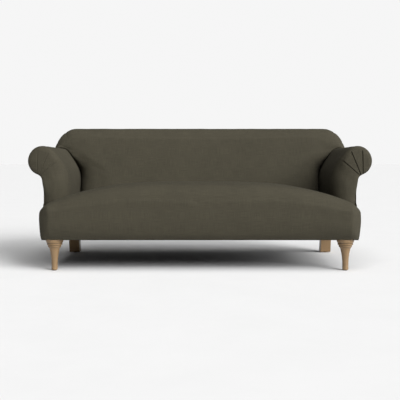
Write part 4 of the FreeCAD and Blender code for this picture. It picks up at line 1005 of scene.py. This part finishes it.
def wood(name, light, dark, stretch, roughness, lacquer=0.0, edge_wear_and_hollow_shade=0.0, rings=()):
    """Wood with its grain along one way, edges rubbed lighter, and painted shade in the hollows and
    in the grooves of turned rings.
    """
    made, tree, shader, place = empty_material(name, roughness, specular=0.45)
    grain = place_group(tree, GRAIN, Place=place, Stretch=stretch)
    tone = place_group(tree, PATCHES, Place=place, Scale=7.0)["Tone"]
    share = sums(tree, "MULTIPLY", grain["Rings"], 0.45)
    share = sums(tree, "MULTIPLY_ADD", grain["Fibres"], 0.40, share)
    share = sums(tree, "MULTIPLY_ADD", tone, 0.15, share)
    base = blend_colours(tree, share, colour(light), colour(dark))
    # Darker tone for the pores, and for the painted shade in hollows and ring grooves
    pore_and_shade_colour = [part * 0.45 for part in colour(dark)[:3]] + [1]
    base = blend_colours(tree, sums(tree, "MULTIPLY", grain["Pores"], 0.55), base, pore_and_shade_colour)
    if edge_wear_and_hollow_shade:
        edge = tree.nodes.new("ShaderNodeNewGeometry").outputs["Pointiness"]
        # Painted shade: hollows, found by low pointiness, turn darker
        hollow = add(
            tree, "MapRange", Value=edge, From_Min=0.40, From_Max=0.48, To_Min=0.6, To_Max=0
        )
        base = blend_colours(tree, hollow, base, pore_and_shade_colour)
        rubbed = add(tree, "MapRange", Value=edge, From_Min=0.53, From_Max=0.60, To_Max=edge_wear_and_hollow_shade)
        base = blend_colours(tree, rubbed, base, [min(p * 1.3, 1) for p in colour(light)])
    up = add(tree, "SeparateXYZ", outlet=2, Vector=place) if rings else None
    # Painted shade in the groove at each turned ring's height
    for ring in rings:
        away = sums(tree, "ABSOLUTE", sums(tree, "SUBTRACT", up, ring))
        painted_groove_shade = add(
            tree, "MapRange", Value=away, From_Min=0.0008, From_Max=0.0022, To_Min=0.7, To_Max=0
        )
        base = blend_colours(tree, painted_groove_shade, base, pore_and_shade_colour)
    tree.links.new(base, shader["Base Color"])
    tree.links.new(
        sums(tree, "MULTIPLY_ADD", grain["Fibres"], 0.18, roughness - 0.09), shader["Roughness"]
    )
    shader["Coat Weight"].default_value = lacquer
    shader["Coat Roughness"].default_value = 0.28
    height = sums(tree, "MULTIPLY_ADD", grain["Pores"], -1.0, grain["Fibres"])
    bump(tree, shader, height, 0.00012)
    return made


def fine_grained(name, light, dark, scale, depth, roughness, metallic=0.0, cells=False):
    """Foam, board, non-woven cloth, plastic or metal, by the size of its fine marks."""
    made, tree, shader, place = empty_material(name, roughness, metallic)
    kind = "TexVoronoi" if cells else "TexNoise"
    marks = add(tree, kind, Vector=place, Scale=scale)
    tone = place_group(tree, PATCHES, Place=place, Scale=11.0)["Tone"]
    share = sums(tree, "MULTIPLY_ADD", marks, 0.7, sums(tree, "MULTIPLY", tone, 0.3))
    tree.links.new(blend_colours(tree, share, colour(dark), colour(light)), shader["Base Color"])
    rough = sums(tree, "MULTIPLY_ADD", marks, 0.16, roughness - 0.08)
    tree.links.new(rough, shader["Roughness"])
    bump(tree, shader, marks, depth)
    return made


upholstery_cloth = woven("olive_cloth", "484437", "2a271e", 0.0013, 0.00035, 0.90, 0.16, sheen=0.05)
# Heights of the turned rings whose grooves get painted shade, and the grain of an upright leg
LEG_SHADED_GROOVES = (0.1560, 0.1458, 0.1360)
LEG_GRAIN = (1.0, 1.0, 0.06)
turned_oak = wood(
    "turned_oak", "927858", "6e5534", LEG_GRAIN, 0.46, lacquer=0.10, edge_wear_and_hollow_shade=0.4, rings=LEG_SHADED_GROOVES
)
# A darker copy of the same oak for the back legs: painted shade for where they stand under the sofa
square_oak_shaded = wood("square_oak_shaded", "8a7050", "664d2f", LEG_GRAIN, 0.46, lacquer=0.10, edge_wear_and_hollow_shade=0.4)
frame_long = wood("beech_across", "cdb08a", "a98459", (0.05, 1.0, 1.0), 0.62)
frame_deep = wood("beech_front_to_back", "cdb08a", "a98459", (1.0, 0.05, 1.0), 0.62)
frame_tall = wood("beech_upright", "cdb08a", "a98459", (1.0, 1.0, 0.05), 0.62)
foam = fine_grained("foam", "e6dcc0", "c9bc98", 700.0, 0.0004, 0.95, cells=True)
hessian = woven("hessian", "b59a6c", "6f5937", 0.0026, 0.0008, 0.95)
webbing = woven("webbing", "b8a67f", "77623f", 0.0018, 0.0006, 0.90)
board = fine_grained("grey_board", "9b9487", "6d675c", 260.0, 0.0002, 0.90)
cambric = fine_grained("black_cambric", "2b2b2c", "141415", 900.0, 0.0002, 0.88)
spring_steel = fine_grained("spring_steel", "55504a", "2c2925", 320.0, 0.00004, 0.42, metallic=1.0)
fastener_steel = fine_grained("zinc_steel", "b9b8b2", "85837c", 420.0, 0.00004, 0.34, metallic=1.0)
glide_plastic = fine_grained("glide_plastic", "3a3733", "201e1c", 520.0, 0.00008, 0.55)

for piece in (arm_right, arm_left, back, seat, rear_panel, arm_panel_right, arm_panel_left):
    piece.data.materials.clear()
    piece.data.materials.append(upholstery_cloth)
dust_cover.data.materials.clear()
dust_cover.data.materials.append(cambric)

NODE_FINISHES = (
    (("front_leg_left", "front_leg_right"), turned_oak),
    (("back_leg_left", "back_leg_right"), square_oak_shaded),
    (("front_rail", "back_rail", "back_top_rail", "lumbar_rail", "frame_dowels"), frame_long),
    (("side_rail_left", "side_rail_right", "seat_stretchers", "corner_blocks"), frame_deep),
    (("arm_top_rail_left", "arm_top_rail_right"), frame_deep),
    (("arm_stuffing_rail_left", "arm_stuffing_rail_right"), frame_deep),
    (("back_post_left", "back_post_right", "arm_post_left", "arm_post_right"), frame_tall),
    (("back_uprights", "arm_scroll_board_left", "arm_scroll_board_right"), frame_tall),
    (("seat_foam", "seat_border_pad", "back_foam", "arm_foam_left", "arm_foam_right"), foam),
    (("seat_hessian", "back_hessian", "arm_hessian_left", "arm_hessian_right"), hessian),
    (("back_webbing", "arm_webbing_left", "arm_webbing_right"), webbing),
    (("arm_board_left", "arm_board_right", "back_board"), board),
    (("dust_cover",), cambric),
    (("sinuous_springs", "spring_tie_wires"), spring_steel),
    (("spring_clips", "leg_bolts", "leg_tee_nuts"), fastener_steel),
    (("corner_block_screws", "dust_cover_staples"), fastener_steel),
    (("floor_glides",), glide_plastic),
    (("seat_cover", "inside_back_cover", "outside_back_cover"), upholstery_cloth),
    (("inside_arm_cover_left", "inside_arm_cover_right"), upholstery_cloth),
    (("outside_arm_cover_left", "outside_arm_cover_right"), upholstery_cloth),
)
for names, finish in NODE_FINISHES:
    for name in names:
        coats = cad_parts[name].data.materials
        coats.clear()
        coats.append(finish)

# Floor, light and camera
AMBIENT = 0.07
BACKDROP = 0.92
CAMERA_PLACE = (0, -4.795, 0.694)
LENS, SENSOR, FRAME_SHIFT = 69.57, 36, -0.128

bpy.ops.object.select_all(action="DESELECT")
bpy.ops.mesh.primitive_plane_add(size=60)
floor = named("floor")
floor.data.materials.append(fine_grained("pale_floor", "e1e1e1", "dddddd", 3.0, 0.00001, 0.9))


def soft_light(name, place, energy, softness):
    """A broad studio light that shines from a place towards the sofa, even all over."""
    light = bpy.data.lights.new(name, "SUN")
    light.energy = energy
    light.angle = math.radians(softness)
    holder = bpy.data.objects.new(name, light)
    bpy.context.scene.collection.objects.link(holder)
    holder.location = place
    holder.rotation_euler = (-Vector(place)).to_track_quat("-Z", "Y").to_euler()


soft_light("key_light", (3.0, -3.4, 2.6), 2.9, 30)
soft_light("side_light", (4.0, -1.2, 1.6), 1.4, 25)
soft_light("top_light", (0.6, -1.6, 3.8), 2.0, 60)

# The camera sees a bright backdrop, and the light that comes from it is weak
world = bpy.data.worlds.new("studio")
bpy.context.scene.world = world
world.use_nodes = True
sky = world.node_tree
backdrop = sky.nodes["Background"]
seen = sky.nodes.new("ShaderNodeLightPath")
strength = sky.nodes.new("ShaderNodeMapRange")
strength.inputs["To Min"].default_value = AMBIENT
strength.inputs["To Max"].default_value = BACKDROP
sky.links.new(seen.outputs["Is Camera Ray"], strength.inputs["Value"])
sky.links.new(strength.outputs["Result"], backdrop.inputs["Strength"])
backdrop.inputs["Color"].default_value = (1, 1, 1, 1)
bpy.context.scene.view_settings.view_transform = "Standard"

camera_data = bpy.data.cameras.new("camera")
camera_data.lens = LENS
camera_data.sensor_width = SENSOR
camera_data.shift_y = FRAME_SHIFT
camera = bpy.data.objects.new("camera", camera_data)
bpy.context.scene.collection.objects.link(camera)
camera.location = CAMERA_PLACE
camera.rotation_euler = (math.radians(90), 0, 0)
bpy.context.scene.camera = camera
